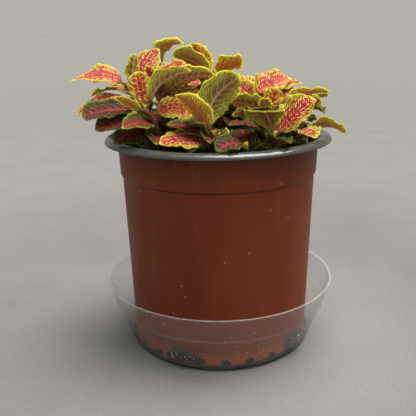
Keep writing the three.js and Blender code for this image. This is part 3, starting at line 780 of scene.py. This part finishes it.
def back_shoots():
    """The shoots behind, placed by a rule: a quarter turn between one pair of leaves and the next."""
    draw = seeded(BACK_SEED)
    shoots = []
    for row in BACK_RINGS:
        for i in range(row["count"]):
            compass = row["start"] + i * row["step"] + draw(-5, 5)
            root = polar(row["radius"], compass, SOIL_Z)
            head = polar(row["radius"] + row["lean"], compass, SOIL_Z + row["height"] + draw(-3, 3))
            shoot = dict(root=tuple(root[:2]), top=tuple(head), leaves=[])
            for order, (at, level_rise, level_length) in enumerate(BACK_LEVELS):
                for half in (0, 180):
                    turn = compass + order * 90 + half + draw(-15, 15)
                    rise = math.radians(level_rise + draw(-8, 8))
                    length = level_length + draw(-2, 3)
                    reach = polar(length * math.cos(rise), turn, length * math.sin(rise))
                    shoot["leaves"].append(leaf_at(
                        at, stem_points(shoot, at)[0] + reach, draw(14, 17), roll=draw(-15, 15),
                        fold=draw(8, 22), phase=draw(0, 6), point=draw(0.7, 1.1),
                    ))
            shoots.append(shoot)
    return shoots


def bent(leaf, base, attempt):
    """The leaf as it is at first, then turned, lifted and shortened a little more with each try."""
    if attempt == 0:
        return leaf
    out = math.ceil(attempt / TRY_SPOKES)
    spoke = 2 * math.pi * attempt / TRY_SPOKES
    turn = math.radians(TRY_TURN * out * math.sin(spoke))
    x, y, z = np.array(leaf["tip"], float) - base
    c, s = math.cos(turn), math.sin(turn)
    reach = np.array([x * c - y * s, x * s + y * c, z])
    reach = reach * (1 - TRY_SHRINK * out)
    reach[2] += TRY_LIFT * out * math.cos(spoke)
    return dict(leaf, tip=base + reach)


TIP_MATCH = 0.02  # a leaf is found in the solids where a corner is this close to its tip


def as_in_solids(leaf, base, corners):
    """The leaf with the tip that it has in the solids, or None where they leave it out."""
    for attempt in range(TRY_RINGS * TRY_SPOKES + 1):
        tried = bent(leaf, base, attempt)
        _, _, up = midrib_frame(tried, base, np.ones((1, 1)))
        half = BLADE_THICK / 2 / math.cos(math.radians(tried["fold"]))
        if np.linalg.norm(corners - (np.array(tried["tip"]) + up[0] * half), axis=1).min() < TIP_MATCH:
            return tried
    return None


# How a few leaves look, by shoot and leaf: age from 0 (young) to 1, which also paints shade, pinkness,
# which partly paints light, and the painted glow of a leaf with light behind it.
TONES = {
    (1, 0): (0.38, 0.1, 0.3), (1, 3): (0.2, 0.3, 0.6), (1, 2): (0.95, 0.5, 0), (1, 7): (0.75, 0.6, 0),
    (1, 5): (0.95, 0.1, 0), (1, 6): (0.9, 0.2, 0), (1, 4): (0.46, 0.1, 0),
    (2, 0): (0.0, 0.9, 0), (2, 1): (0.1, 0.8, 0), (2, 5): (0.2, 0.6, 0),
    (4, 0): (0.2, 0.1, 0.25), (5, 0): (0.0, 0.3, 0.9), (5, 1): (0.45, 0.2, 0.15),
    (5, 2): (0.05, 0.3, 0.8),
    (6, 0): (0.2, 0.1, 0.0), (6, 1): (0.1, 0.4, 0.7), (6, 2): (0.0, 0.5, 0.1), (6, 3): (0.3, 0.2, 0.1),
    (6, 4): (0.85, 0.2, 0), (7, 0): (0.95, 0.5, 0), (7, 1): (0.8, 0.3, 0), (8, 0): (0.62, 0.2, 0),
    (8, 1): (0.9, 0.3, 0), (8, 2): (0.25, 0.25, 0), (9, 0): (0.0, 0.4, 1.0),
    (9, 1): (0.0, 0.8, 0.2), (9, 2): (0.0, 0.3, 0.5), (10, 0): (0.0, 1.0, 0), (10, 2): (0.0, 1.0, 0),
    (11, 0): (0.3, 0.4, 0.3), (11, 1): (0.45, 0.7, 0), (12, 0): (0.2, 0.3, 0), (12, 1): (0.8, 0.6, 0),
}
YOUNG_Z, OLD_SPAN = 146, 30  # leaves are young at this height, and old, painted as shaded, this far below it


def tone_of(shoot_number, leaf_number, leaf, draw):
    """Leaves low on the plant are older, dark green and crimson; the darker tone also paints their
    shade.
    """
    drawn = draw(-0.15, 0.15)
    age_and_shade = min(1, max(0, (YOUNG_Z - leaf["tip"][2]) / OLD_SPAN + drawn))
    return TONES.get((shoot_number, leaf_number), (age_and_shade, 0.5 - 0.4 * age_and_shade + drawn, 0.0))


# Share of the stem, rise, length and width of the pairs of old leaves that shade the soil.
LOW_PAIRS = [
    (0.78, 25, 19, 13), (0.65, 20, 20, 15), (0.5, 14, 21, 15), (0.36, 8, 20, 15), (0.27, 14, 22, 15),
    (0.2, 10, 18, 13), (0.1, 6, 16, 12),
]
LOW_REACH = 50.0  # low leaves stay this close to the axis
LOW_SHARES = (1, 0.8, 0.62, 0.5)  # lengths that are tried in turn
LOW_TRIES = 18


def low_leaf(shoot, at, rise, length, wide, turn, draw):
    """A small leaf low on the stem, short enough to stay in the pot, or None."""
    base = stem_points(shoot, at)[0]
    slope = math.radians(rise + draw(-10, 14))
    reach = length + draw(-4, 3)
    wide = wide + draw(-2, 2)
    fold, phase = draw(5, 25), draw(0, 6)
    for share in LOW_SHARES:
        tip = base + polar(share * reach * math.cos(slope), turn, share * reach * math.sin(slope))
        if math.hypot(tip[0], tip[1]) < LOW_REACH and tip[2] > SOIL_Z + 3:
            return leaf_at(at, tip, wide * math.sqrt(share), (3, 3), fold=fold, phase=phase)
    return None


def add_low_leaves(parts, shoot, grown, draw):
    """Fills the shade under the crown with leaves that stay clear of all others."""
    compass = draw(0, 180)
    for order, (at, rise, length, wide) in enumerate(LOW_PAIRS):
        for half in (0, 180):
            for _ in range(LOW_TRIES):
                turn = compass + order * 90 + half + draw(-35, 35)
                leaf = low_leaf(shoot, at, rise, length, wide, turn, draw)
                if leaf is None:
                    continue
                points, values = leaf_mesh(leaf, stem_points(shoot, at)[0], draw)
                tree = blade_tree(points)
                if any(tree.overlap(other) for other in grown):
                    continue
                grown.append(tree)
                # Old and dark: this tone paints shade as well as age.
                tone = (draw(0.75, 1.0), draw(0.1, 0.4), 0)
                parts.add(points, LEAF_FACES, LEAF_SLOTS, tone=tone, **values)
                break


def grow_shoots(upper, under, skin, hair):
    shoots = [*FRONT_SHOOTS, *back_shoots()]
    draws = [seeded(SHOOT_SEED + number) for number in range(1, len(shoots) + 1)]
    made = [Parts("vein", "rim", "tone") for _ in shoots]
    grown = []
    for number, (shoot, draw, parts) in enumerate(zip(shoots, draws, made), start=1):
        corners = np.array([v.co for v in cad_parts[f"shoot_{number:02d}"].data.vertices]) / MM
        for order, planned in enumerate(shoot["leaves"]):
            base = stem_points(shoot, planned["at"])[0]
            leaf = as_in_solids(planned, base, corners)
            if leaf is not None:
                grown.append(add_leaf(parts, leaf, base, tone_of(number, order, leaf, draw), draw))
    for shoot, draw, parts in zip(shoots, draws, made):
        verts, faces = stem_bar(shoot)
        grown.append(BVHTree.FromPolygons(verts.tolist(), faces))
        parts.add(verts, faces, SKIN)
        add_bud(parts, shoot, draw)
        add_hairs(parts, shoot, draw)
    for number, (shoot, draw, parts) in enumerate(zip(shoots, draws, made), start=1):
        add_low_leaves(parts, shoot, grown, draw)
        name = f"shoot_{number:02d}"
        parts.piece(name + "_leaves", [upper, under, skin, hair], "foliage", [name])


# ---- turned pieces ----

CORNER_STEPS = 4


def arc(r, z, reach_r, reach_z, start, end, steps):
    turns = np.radians(np.linspace(start, end, steps + 1))
    return [(r + reach_r * math.cos(a), z + reach_z * math.sin(a)) for a in turns]


def rounded(outline, radii):
    """The outline with its corners rounded. radii holds the radius for each rounded corner's number."""
    made = []
    for i, corner in enumerate(outline):
        if i not in radii:
            made.append(tuple(corner))
            continue
        here = np.array(corner, float)
        before = np.array(outline[i - 1], float) - here
        after = np.array(outline[i + 1], float) - here
        reach = min(radii[i], np.linalg.norm(before) * 0.45, np.linalg.norm(after) * 0.45)
        a = here + unit(before) * reach
        b = here + unit(after) * reach
        for step in range(CORNER_STEPS + 1):
            t = step / CORNER_STEPS
            made.append(tuple((1 - t) ** 2 * a + 2 * t * (1 - t) * here + t * t * b))
    return made


def turned(outline, sides):
    """Points and faces of a closed outline, from axis to axis, turned about the Z axis."""
    first, *middle, last = outline
    return closed_rings([ring(r, z, sides) for r, z in middle], (0, 0, first[1]), (0, 0, last[1]))


# ---- pot ----

POT_SIDES = 360


def pot_outline():
    """The wall's outline from the floor's underside round the outside to the floor's upper side, and
    the number of its last point on the outside."""
    rim_middle = (POT_RIM + COLLAR - POT_WALL) / 2
    rim_half = POT_RIM - rim_middle
    rim_z = POT_TOP - POT_ROLL
    step_z = COLLAR_Z - COLLAR_STEP
    low = [
        (0, POT_FLOOR_Z),
        (pot_inside(POT_FLOOR_Z) - 6, POT_FLOOR_Z),
        (pot_inside(POT_FLOOR_Z), POT_FLOOR_Z),
        (pot_inside(POT_FOOT_Z) + 0.1, POT_FOOT_Z),
    ]
    wall = [(pot_outside(z), z) for z in (POT_FOOT_Z, 3.0, 3.6, 4.4, 5.4, 6.4, 7.4, 8.6, 12, 30, 60, 90)]
    collar = rounded([
        (pot_outside(90.5), 90.5),
        (pot_outside(step_z), step_z),
        (COLLAR_FOOT, COLLAR_Z),
        (interpolate(101, COLLAR_Z, COLLAR_FOOT, rim_z, COLLAR), 101),
    ], {1: 0.8, 2: 0.6})
    under_rim = arc(rim_middle, rim_z, rim_half - POT_WALL, POT_ROLL - POT_WALL, 180, 0, 12)
    over_rim = arc(rim_middle, rim_z, rim_half, POT_ROLL, 0, 180, 24)
    inside = [
        (COLLAR_FOOT - POT_WALL, COLLAR_Z + COLLAR_STEP / 2),
        (pot_inside(step_z), COLLAR_Z - COLLAR_STEP / 2),
        (pot_inside(POT_FLOOR_Z + POT_WALL), POT_FLOOR_Z + POT_WALL),
        (0, POT_FLOOR_Z + POT_WALL),
    ]
    outer = low + wall + collar
    return outer + under_rim + over_rim + inside, len(outer)


def cut(piece, cutter):
    """Takes the cutter out of the piece, and removes it."""
    modifier = piece.modifiers.new("cut", "BOOLEAN")
    modifier.operation = "DIFFERENCE"
    modifier.solver = "EXACT"
    modifier.object = cutter
    bpy.context.view_layer.update()
    made = bpy.data.meshes.new_from_object(piece.evaluated_get(bpy.context.evaluated_depsgraph_get()))
    piece.modifiers.clear()
    piece.data = made
    bpy.data.objects.remove(cutter)


def notch_cutter(turn, top):
    """A bar with a round top that crosses the foot of the wall from inside to outside."""
    section = arc(0, top, NOTCH_RADIUS, NOTCH_RADIUS, 0, 180, 12)
    section += [(-NOTCH_RADIUS, POT_FOOT_Z - 2), (NOTCH_RADIUS, POT_FOOT_Z - 2)]
    out, side = polar(1, turn, 0), polar(1, turn + 90, 0)
    near = [out * (POT_FOOT - 4) + side * y + np.array([0, 0, z]) for y, z in section]
    far = [point + out * 8 for point in near]
    n = len(section)
    faces = [list(range(n - 1, -1, -1)), list(range(n, 2 * n)), *belts(2, n)]
    return np.array([*near, *far]), faces


def make_pot(outside, inside):
    outline, last_outside = pot_outline()
    verts, faces = turned(outline, POT_SIDES)
    slots = [0 if 2 <= face // POT_SIDES < last_outside - 1 else 1 for face in range(len(faces))]
    pot = make_piece("pot_shell", verts, faces, [outside, inside], slots=slots)
    cutters = Parts()
    for i in range(DRAINS):
        middle = polar(DRAIN_RING, (i + 0.5) * 360 / DRAINS, POT_FLOOR_Z)
        bar = [middle + np.array([0, 0, -3]), middle + np.array([0, 0, 4])]
        cutters.add(*tube(bar, [DRAIN_RADIUS] * 2, 32))
    for i in range(NOTCHES):
        turn = NOTCH_FIRST + i * 360 / NOTCHES
        cutters.add(*notch_cutter(turn, POT_FOOT_Z + NOTCH_HEIGHT - NOTCH_RADIUS))
    cut(pot, cutters.piece("drain_cutter", [inside]))
    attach(pot, "root")
    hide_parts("pot")


def pot_outside_skin():
    shader = Shader("pot_brown_plastic")
    z = shader.height()
    # The coloured layer is thin, so its tone drifts in broad upright bands.
    bands = shader.grain(1.0, 2.0, 0.5, (0.05, 0.05, 0.008))
    colour = shader.mix(shader.step(bands, 0.2, 0.8), (103, 45, 27), (121, 55, 34))
    foot = shader.fall(z, POT_FOOT_Z + 2, POT_FOOT_Z + 9)
    colour = shader.mix(foot * 0.75, colour, (166, 78, 52))
    # Painted shade under the rim's overhang: the top of the collar is darkened.
    under_rim = shader.step(z, POT_TOP - 18, POT_TOP - 5, 0.0, 0.45)
    colour = shader.mix(under_rim, colour, (60, 26, 16))
    scratch = shader.grain(1.0, 6.0, 0.7, (0.25, 0.25, 2.2))
    scuff = shader.step(scratch, 0.62, 0.78) * shader.step(shader.grain(0.06), 0.52, 0.7)
    colour = shader.mix(scuff * 0.25, colour, (176, 120, 100))
    # Short upright scratches below the rim, and painted shade in the crease under the collar.
    nicks = shader.step(shader.grain(1.0, 3.0, 0.6, (1.5, 1.5, 0.1)), 0.58, 0.68)
    nicks = nicks * shader.step(z, POT_TOP - 14, POT_TOP - 9)
    nicks = nicks * shader.step(shader.grain(0.045), 0.46, 0.56)
    colour = shader.mix(nicks * 0.4, colour, (150, 108, 88))
    crease = abs(z - (COLLAR_Z - 0.8))
    colour = shader.mix(shader.fall(crease, 0.2, 0.8, 0.48), colour, (40, 18, 12))
    dust = shader.fall(shader.dots(0.15), 0.05, 0.09) * shader.step(shader.grain(0.03), 0.45, 0.52)
    colour = shader.mix(dust * 0.45, colour, (214, 160, 140))
    roughness = shader.grain(0.12, 5.0, 0.6) * 0.2 + 0.38
    normal = shader.bump(bands * 0.6 + scratch * 0.1, 0.25)
    return shader.finish(shader.body(colour, roughness, Normal=normal, Specular_IOR_Level=0.15))


def pot_inside_skin():
    shader = Shader("pot_black_plastic")
    haze = shader.grain(0.2, 5.0, 0.6)
    colour = shader.mix(haze, (52, 54, 52), (72, 73, 69))
    dust = shader.step(shader.grain(0.7, 6.0, 0.7), 0.6, 0.75)
    colour = shader.mix(dust * 0.3, colour, (120, 112, 100))
    normal = shader.bump(shader.grain(1.0, 3.0, 0.5, (0.15, 0.15, 0.5)), 0.12)
    return shader.finish(shader.body(colour, haze * 0.16 + 0.1, Normal=normal))


# ---- saucer ----

SAUCER_SIDES = 288


def saucer_outline():
    outline = [
        (0, 0),
        (SAUCER_BASE - SAUCER_SOFT, 0),
        (saucer_outside(SAUCER_SOFT), SAUCER_SOFT),
        (SAUCER_LEDGE, SAUCER_LEDGE_Z),
        (SAUCER_LEDGE + SAUCER_SOFT, SAUCER_LEDGE_Z + SAUCER_SOFT),
        (SAUCER_RIM - SAUCER_LIP + 0.4, SAUCER_HEIGHT - SAUCER_LIP_Z - 0.3),
        (SAUCER_RIM, SAUCER_HEIGHT - SAUCER_LIP_Z),
        (SAUCER_RIM, SAUCER_HEIGHT),
        (SAUCER_RIM - SAUCER_LIP, SAUCER_HEIGHT),
        (SAUCER_LEDGE + SAUCER_SOFT - SAUCER_WALL, SAUCER_LEDGE_Z + SAUCER_WALL),
        (SAUCER_LEDGE - SAUCER_WALL, SAUCER_LEDGE_Z + SAUCER_WALL / 2),
        (saucer_inside(SAUCER_RING_Z), SAUCER_RING_Z),
        (SAUCER_RING_IN, SAUCER_RING_Z),
        (SAUCER_RING_IN - SAUCER_WALL, SAUCER_WALL),
        (0, SAUCER_WALL),
    ]
    radii = (0.6, 1.0, 0.8, 0.6, 0.3, 0.4, 0.4, 0.5, 0.6, 0.8, 0.8, 0.5, 0.5)
    return rounded(outline, dict(enumerate(radii, start=1)))


def make_saucer(clear):
    verts, faces = turned(saucer_outline(), SAUCER_SIDES)
    make_piece("saucer_shell", verts, faces, [clear], "clear_plastic", ["saucer"])


def clear_skin():
    """Thin clear plastic: it mirrors at a slant, and the light that its edges and bends gather is
    painted on as whitish lines.
    """
    shader = Shader("saucer_clear_plastic")
    z = shader.height()
    relief = shader.bump(shader.grain(0.3, 2.0), 0.5)
    tint = shader.mix(shader.grain(0.1), (254, 254, 254), (249, 250, 249))
    # Painted contact shadow: the see-through tint darkens at the corner of the base, where it stands on
    # the table.
    tint = shader.mix(shader.fall(z, 0.8, 2.6), tint, (84, 85, 82))
    straight = shader.node("BsdfTransparent", Color=tint)
    mirror = shader.node("BsdfGlossy", Color=srgb(235, 235, 235), Roughness=0.06, Normal=relief)
    slant = shader.node("LayerWeight", out="Facing", Blend=0.5, Normal=relief)
    film = shader.math("POWER", slant, 5.0) * 0.7 + 0.03
    clear = shader.node("MixShader", film, straight, mirror)
    # Painted highlights: a whitish film at the rim, the ledge and the foot. The drops and stains are
    # real marks.
    rim = shader.step(z, SAUCER_HEIGHT - 0.5, SAUCER_HEIGHT - 0.1, 0.0, 0.16)
    ledge = shader.fall(abs(z - (SAUCER_LEDGE_Z + 0.3)), 0.1, 0.45, 0.2)
    foot = shader.fall(z, 0.3, 1.2, 0.03)
    drops = shader.fall(shader.dots(0.25), 0.05, 0.12, 0.6)
    drops = drops * shader.step(shader.grain(0.05), 0.45, 0.55)
    stains = shader.step(shader.grain(0.35, 6.0, 0.7), 0.56, 0.75, 0.0, 0.1)
    haze = shader.body(shader.mix(stains, (224, 222, 214), (200, 196, 186)), 0.3)
    share = shader.most(rim, ledge, foot, drops, stains) + 0.034
    return shader.finish(shader.node("MixShader", share, clear, haze))


# ---- soil ----

SOIL_SIDES, SOIL_RINGS = 220, 64
CRUMB_SEED, CRUMBS, PERLITES = 7, 1300, 46
SOIL_LOW_Z, SOIL_SIDE_Z = POT_FLOOR_Z + POT_WALL + GAP, COLLAR_Z - COLLAR_STEP
SOIL_EDGE = pot_inside(SOIL_SIDE_Z) - GAP


def soil_height(x, y):
    coarse = np.sin(x * SOIL_LUMP + 1.3) * np.sin(y * SOIL_LUMP)
    fine = np.sin(x * 2 * SOIL_LUMP - y * 1.5 * SOIL_LUMP)
    far = np.hypot(x, y) / COLLAR
    return SOIL_Z + SOIL_RELIEF * (coarse + 0.6 * fine) - SOIL_FALL * far * far


def rough(x, y, z, size):
    """Uneven height from noise, from about -1 to 1."""
    return noise.fractal(Vector((x / size, y / size, z / size)), 0.8, 2.2, 5)


def make_soil(earth):
    outline = [(0, SOIL_LOW_Z), (pot_inside(SOIL_LOW_Z) - GAP, SOIL_LOW_Z), (SOIL_EDGE, SOIL_SIDE_Z)]
    outline += [(SOIL_EDGE * (SOIL_RINGS - i) / SOIL_RINGS, SOIL_Z) for i in range(SOIL_RINGS + 1)]
    verts, faces = turned(outline, SOIL_SIDES)
    top = verts[:, 2] > SOIL_Z - 1
    verts[top, 2] = soil_height(verts[top, 0], verts[top, 1])
    inner = np.clip((SOIL_EDGE - np.hypot(verts[:, 0], verts[:, 1])) / 4, 0, 1)
    for i in np.nonzero(top)[0]:
        verts[i, 2] += 1.1 * rough(verts[i, 0], verts[i, 1], 0, 4.0) * inner[i]
    make_piece("soil_body", verts, faces, [earth], "soil", ["soil"])


def ball(level):
    """Points and faces of a round grain, finer with each level."""
    mesh = bpy.data.meshes.new("ball")
    work = bmesh.new()
    bmesh.ops.create_icosphere(work, subdivisions=level, radius=1.0)
    work.to_mesh(mesh)
    work.free()
    verts = np.array([v.co for v in mesh.vertices])
    faces = [list(p.vertices) for p in mesh.polygons]
    bpy.data.meshes.remove(mesh)
    return verts, faces


BALLS = {level: ball(level) for level in (1, 2, 3)}


def lump(draw, radius, level):
    """An uneven grain about the origin, as points and faces."""
    verts, faces = BALLS[level]
    stretch = np.array([draw(0.75, 1.25), draw(0.75, 1.25), draw(0.6, 1.0)])
    offset = Vector((draw(0, 90), draw(0, 90), draw(0, 90)))
    swell = np.array([1 + 0.45 * noise.noise(Vector(v) * 1.7 + offset) for v in verts])
    return verts * swell[:, None] * stretch * radius, faces


def strew(name, skin, draw, count, reach, level, lift, draw_size):
    """Grains that lie all over the soil, each lifted by a share of its size."""
    grains = Parts()
    for _ in range(count):
        place = polar(reach * math.sqrt(draw(0, 1)), draw(0, 360), 0)
        size = draw_size()
        place[2] = soil_height(place[0], place[1]) + size * lift
        verts, faces = lump(draw, size, level)
        grains.add(verts + place, faces)
    grains.piece(name, [skin], "soil")


def strew_soil(crumb_skin, perlite_skin):
    """Crumbs of peat and white perlite."""
    draw = seeded(CRUMB_SEED)

    def crumb_size():
        return 0.35 + 0.9 * draw(0, 1) ** 3

    def perlite_size():
        return draw(0.6, 1.5)

    strew("soil_crumbs", crumb_skin, draw, CRUMBS, SOIL_EDGE - 1.6, 1, 0.3, crumb_size)
    strew("perlite_grains", perlite_skin, draw, PERLITES, SOIL_EDGE - 2.5, 2, 0.35, perlite_size)


def earth_skin(name, dark, light, scale):
    shader = Shader(name)
    coarse = shader.grain(0.5 * scale, 6.0, 0.65)
    fine = shader.grain(3.0 * scale, 4.0, 0.6)
    colour = shader.mix(shader.step(coarse, 0.35, 0.7), dark, light)
    colour = shader.mix(shader.step(fine, 0.6, 0.8) * 0.5, colour, (92, 76, 56))
    normal = shader.bump(coarse + fine * 0.5, 0.6)
    return shader.finish(shader.body(colour, fine * 0.3 + 0.7, Normal=normal))


def perlite_skin():
    shader = Shader("perlite")
    colour = shader.mix(shader.grain(1.2, 4.0), (232, 230, 222), (186, 180, 168))
    normal = shader.bump(shader.dots(3.0), 0.25)
    return shader.finish(shader.body(colour, 0.85, Normal=normal))


# ---- washed-out soil ----

HEAP_STEPS, HEAP_SIDES, HEAP_GRAINS = 60, 14, 12
HEAP_FOOT, HEAP_THIN = 2 * SAUCER_RING_Z, 0.6
HEAP_BLUNT = 0.03  # share of a heap's length at each end that doesn't taper any more
NOTCH_SEED = 41


def make_heap(earth, perlite, name, start, end, high):
    """A heap fills the wedge between the pot's wall and the saucer's."""

    def inner(z):
        return pot_outside(z) + GAP

    def outer(z):
        return saucer_inside(z) - GAP

    rows = []
    for i in range(HEAP_STEPS + 1):
        share = i / HEAP_STEPS
        swell = math.sqrt(math.sin(math.pi * min(1 - HEAP_BLUNT, max(HEAP_BLUNT, share))))
        crumb = 0.5 * math.sin(share * 23) + 0.3 * math.sin(share * 51)
        top = HEAP_FOOT + HEAP_THIN + (high - HEAP_FOOT + crumb) * swell
        middle = (HEAP_FOOT + top) / 2
        turn = start + (end - start) * share
        section = [(inner(HEAP_FOOT), HEAP_FOOT), (outer(HEAP_FOOT), HEAP_FOOT), (outer(middle), middle)]
        for k in range(HEAP_SIDES + 1):
            part = k / HEAP_SIDES
            r = outer(top) + (inner(top) - outer(top)) * part
            bulge = math.sin(math.pi * part)
            x, y, _ = polar(r, turn, 0)
            section.append((r, top + bulge * (0.4 * swell + 0.7 * rough(x, y, top, 2.5) * swell)))
        section.append((inner(middle), middle))
        rows.append([polar(r, turn, z) for r, z in section])
    side = len(rows[0])
    last = HEAP_STEPS * side
    faces = belts(len(rows), side, inward=True)
    faces += [list(range(side)), list(range(last + side - 1, last - 1, -1))]
    make_piece(name + "_body", np.concatenate(rows), faces, [earth], "washed_soil", [name])
    draw = seeded(int(start))
    grains = Parts()
    for _ in range(HEAP_GRAINS):
        share = draw(0.12, 0.88)
        top = HEAP_FOOT + HEAP_THIN + (high - HEAP_FOOT) * math.sqrt(math.sin(math.pi * share))
        z = draw(HEAP_FOOT + 0.5, top - 0.2)
        size = draw(0.18, 0.38)
        verts, faces = lump(draw, size, 2)
        middle = polar(saucer_inside(z) - size * 0.75, start + (end - start) * share, z)
        grains.add(verts + middle, faces)
    grains.piece(name + "_perlite", [perlite], "washed_soil")


def fill_notches(earth):
    """Lumps of dark soil, one in each notch."""
    draw = seeded(NOTCH_SEED)
    plugs = Parts()
    for i in range(NOTCHES):
        turn = NOTCH_FIRST + i * 360 / NOTCHES + draw(-0.6, 0.6)
        verts, faces = lump(draw, draw(1.5, 1.9), 3)
        middle = polar(POT_FOOT - 1.9, turn, POT_FOOT_Z + 1.2)
        plugs.add(verts * (1, 1, draw(0.75, 0.95)) + middle, faces)
    plugs.piece("soil_in_notches", [earth], "washed_soil")


# ---- stage, light and camera ----

CAMERA_PLACE = (0.0, -311.0, 166.2)
CAMERA_PITCH, CAMERA_YAW, CAMERA_ROLL = 0.294, -0.019, -0.019  # radians, down, to the right, clockwise
FOCAL_PIXELS, PICTURE_PIXELS, SENSOR = 584.3, 416, 36.0

FLOOR_NEAR, FLOOR_SPOT, FLOOR_FAR = (115, 115, 112), (131, 130, 126), (126, 125, 121)
FLOOR_RADII = [100, 200, 400, 900, 2000, 5000, 12000, 30000, 80000]
FLOOR_SIDES = 96


def make_camera():
    pitch, yaw, roll = CAMERA_PITCH, CAMERA_YAW, CAMERA_ROLL
    level = math.cos(pitch)
    ahead = Vector((math.sin(yaw) * level, math.cos(yaw) * level, -math.sin(pitch)))
    right = Vector((math.cos(yaw), -math.sin(yaw), 0))
    up = right.cross(ahead)
    c, s = math.cos(roll), math.sin(roll)
    turn = Matrix((c * right + s * up, c * up - s * right, -ahead)).transposed().to_4x4()
    camera = bpy.data.objects.new("camera", bpy.data.cameras.new("camera"))
    camera.data.sensor_width = SENSOR
    camera.data.lens = SENSOR * FOCAL_PIXELS / PICTURE_PIXELS
    camera.data.clip_start, camera.data.clip_end = 0.01, 200
    camera.matrix_world = Matrix.Translation(Vector(CAMERA_PLACE) * MM) @ turn
    bpy.context.scene.collection.objects.link(camera)
    bpy.context.scene.camera = camera


def floor_skin():
    """Matt pale grey, with a painted shadow that makes it a little darker round the object."""
    shader = Shader("floor_pale")
    x, y, _ = shader.split(shader.place())
    far = shader.math("SQRT", x * x + y * y)
    near = shader.mix(shader.grain(0.02, 5.0, 0.6), FLOOR_NEAR, FLOOR_SPOT)
    near = shader.mix(shader.step(shader.grain(0.5, 4.0, 0.7), 0.35, 0.7, 0.0, 0.22), near, (92, 91, 87))
    colour = shader.mix(shader.step(far, 150, 2500), near, FLOOR_FAR)
    # Painted shadow: a ring of floor round the object is darkened.
    shade = shader.step(far, 85, 150, 0.0, 0.15) * shader.fall(far, 160, 430)
    colour = shader.mix(shade, colour, (0, 0, 0))
    return shader.finish(shader.body(colour, 1.0, Specular_IOR_Level=0.0))


def make_floor():
    """A wide pale floor that meets a sky of its own tone."""
    verts = np.concatenate([*[ring(radius, 0, FLOOR_SIDES) for radius in FLOOR_RADII], [[0, 0, 0]]])
    faces = [[len(verts) - 1, j, (j + 1) % FLOOR_SIDES] for j in range(FLOOR_SIDES)]
    faces += belts(len(FLOOR_RADII), FLOOR_SIDES, inward=True)
    make_piece("floor", verts, faces, [floor_skin()])


def make_lamp(name, kind, strength, **settings):
    """A lamp that shines straight down until it is turned."""
    light = bpy.data.lights.new(name, kind)
    light.energy = strength
    for key, value in settings.items():
        setattr(light, key, value)
    lamp = bpy.data.objects.new(name, light)
    bpy.context.scene.collection.objects.link(lamp)
    return lamp


def make_sun(name, direction, angle, strength, colour):
    """Light that comes from a direction; the angle is how wide it looks, in degrees."""
    lamp = make_lamp(name, "SUN", strength, angle=math.radians(angle), color=colour)
    lamp.rotation_euler = (-Vector(direction)).to_track_quat("-Z", "Y").to_euler()


def make_lights():
    world = bpy.data.worlds.new("sky")
    world.use_nodes = True
    sky = world.node_tree.nodes["Background"]
    sky.inputs["Color"].default_value = srgb(180, 178, 170)
    sky.inputs["Strength"].default_value = 1.0
    bpy.context.scene.world = world
    make_sun("key", (0.3, 0.12, 1.0), 48, 5.4, (1.0, 0.98, 0.94))
    make_sun("fill", (0.3, -0.9, 0.9), 70, 0.5, (0.96, 0.98, 1.0))
    strip = make_lamp("strip", "AREA", 2.0, shape="RECTANGLE", size=0.8, size_y=0.05)
    strip.location = (0.0, 0.02, 0.95)
    bpy.context.scene.view_settings.view_transform = "Standard"


# ---- everything together ----

make_camera()
make_lights()
make_floor()
grow_shoots(upper_side(), under_side(), stem_skin(), hair_skin())
make_pot(pot_outside_skin(), pot_inside_skin())
make_saucer(clear_skin())
earth = earth_skin("potting_soil", (34, 27, 21), (66, 52, 38), 1.0)
dark_earth = earth_skin("dark_soil", (17, 15, 13), (42, 34, 27), 1.4)
perlite = perlite_skin()
make_soil(earth)
strew_soil(earth, perlite)
for heap in WASHED:
    make_heap(dark_earth, perlite, **heap)
fill_notches(dark_earth)
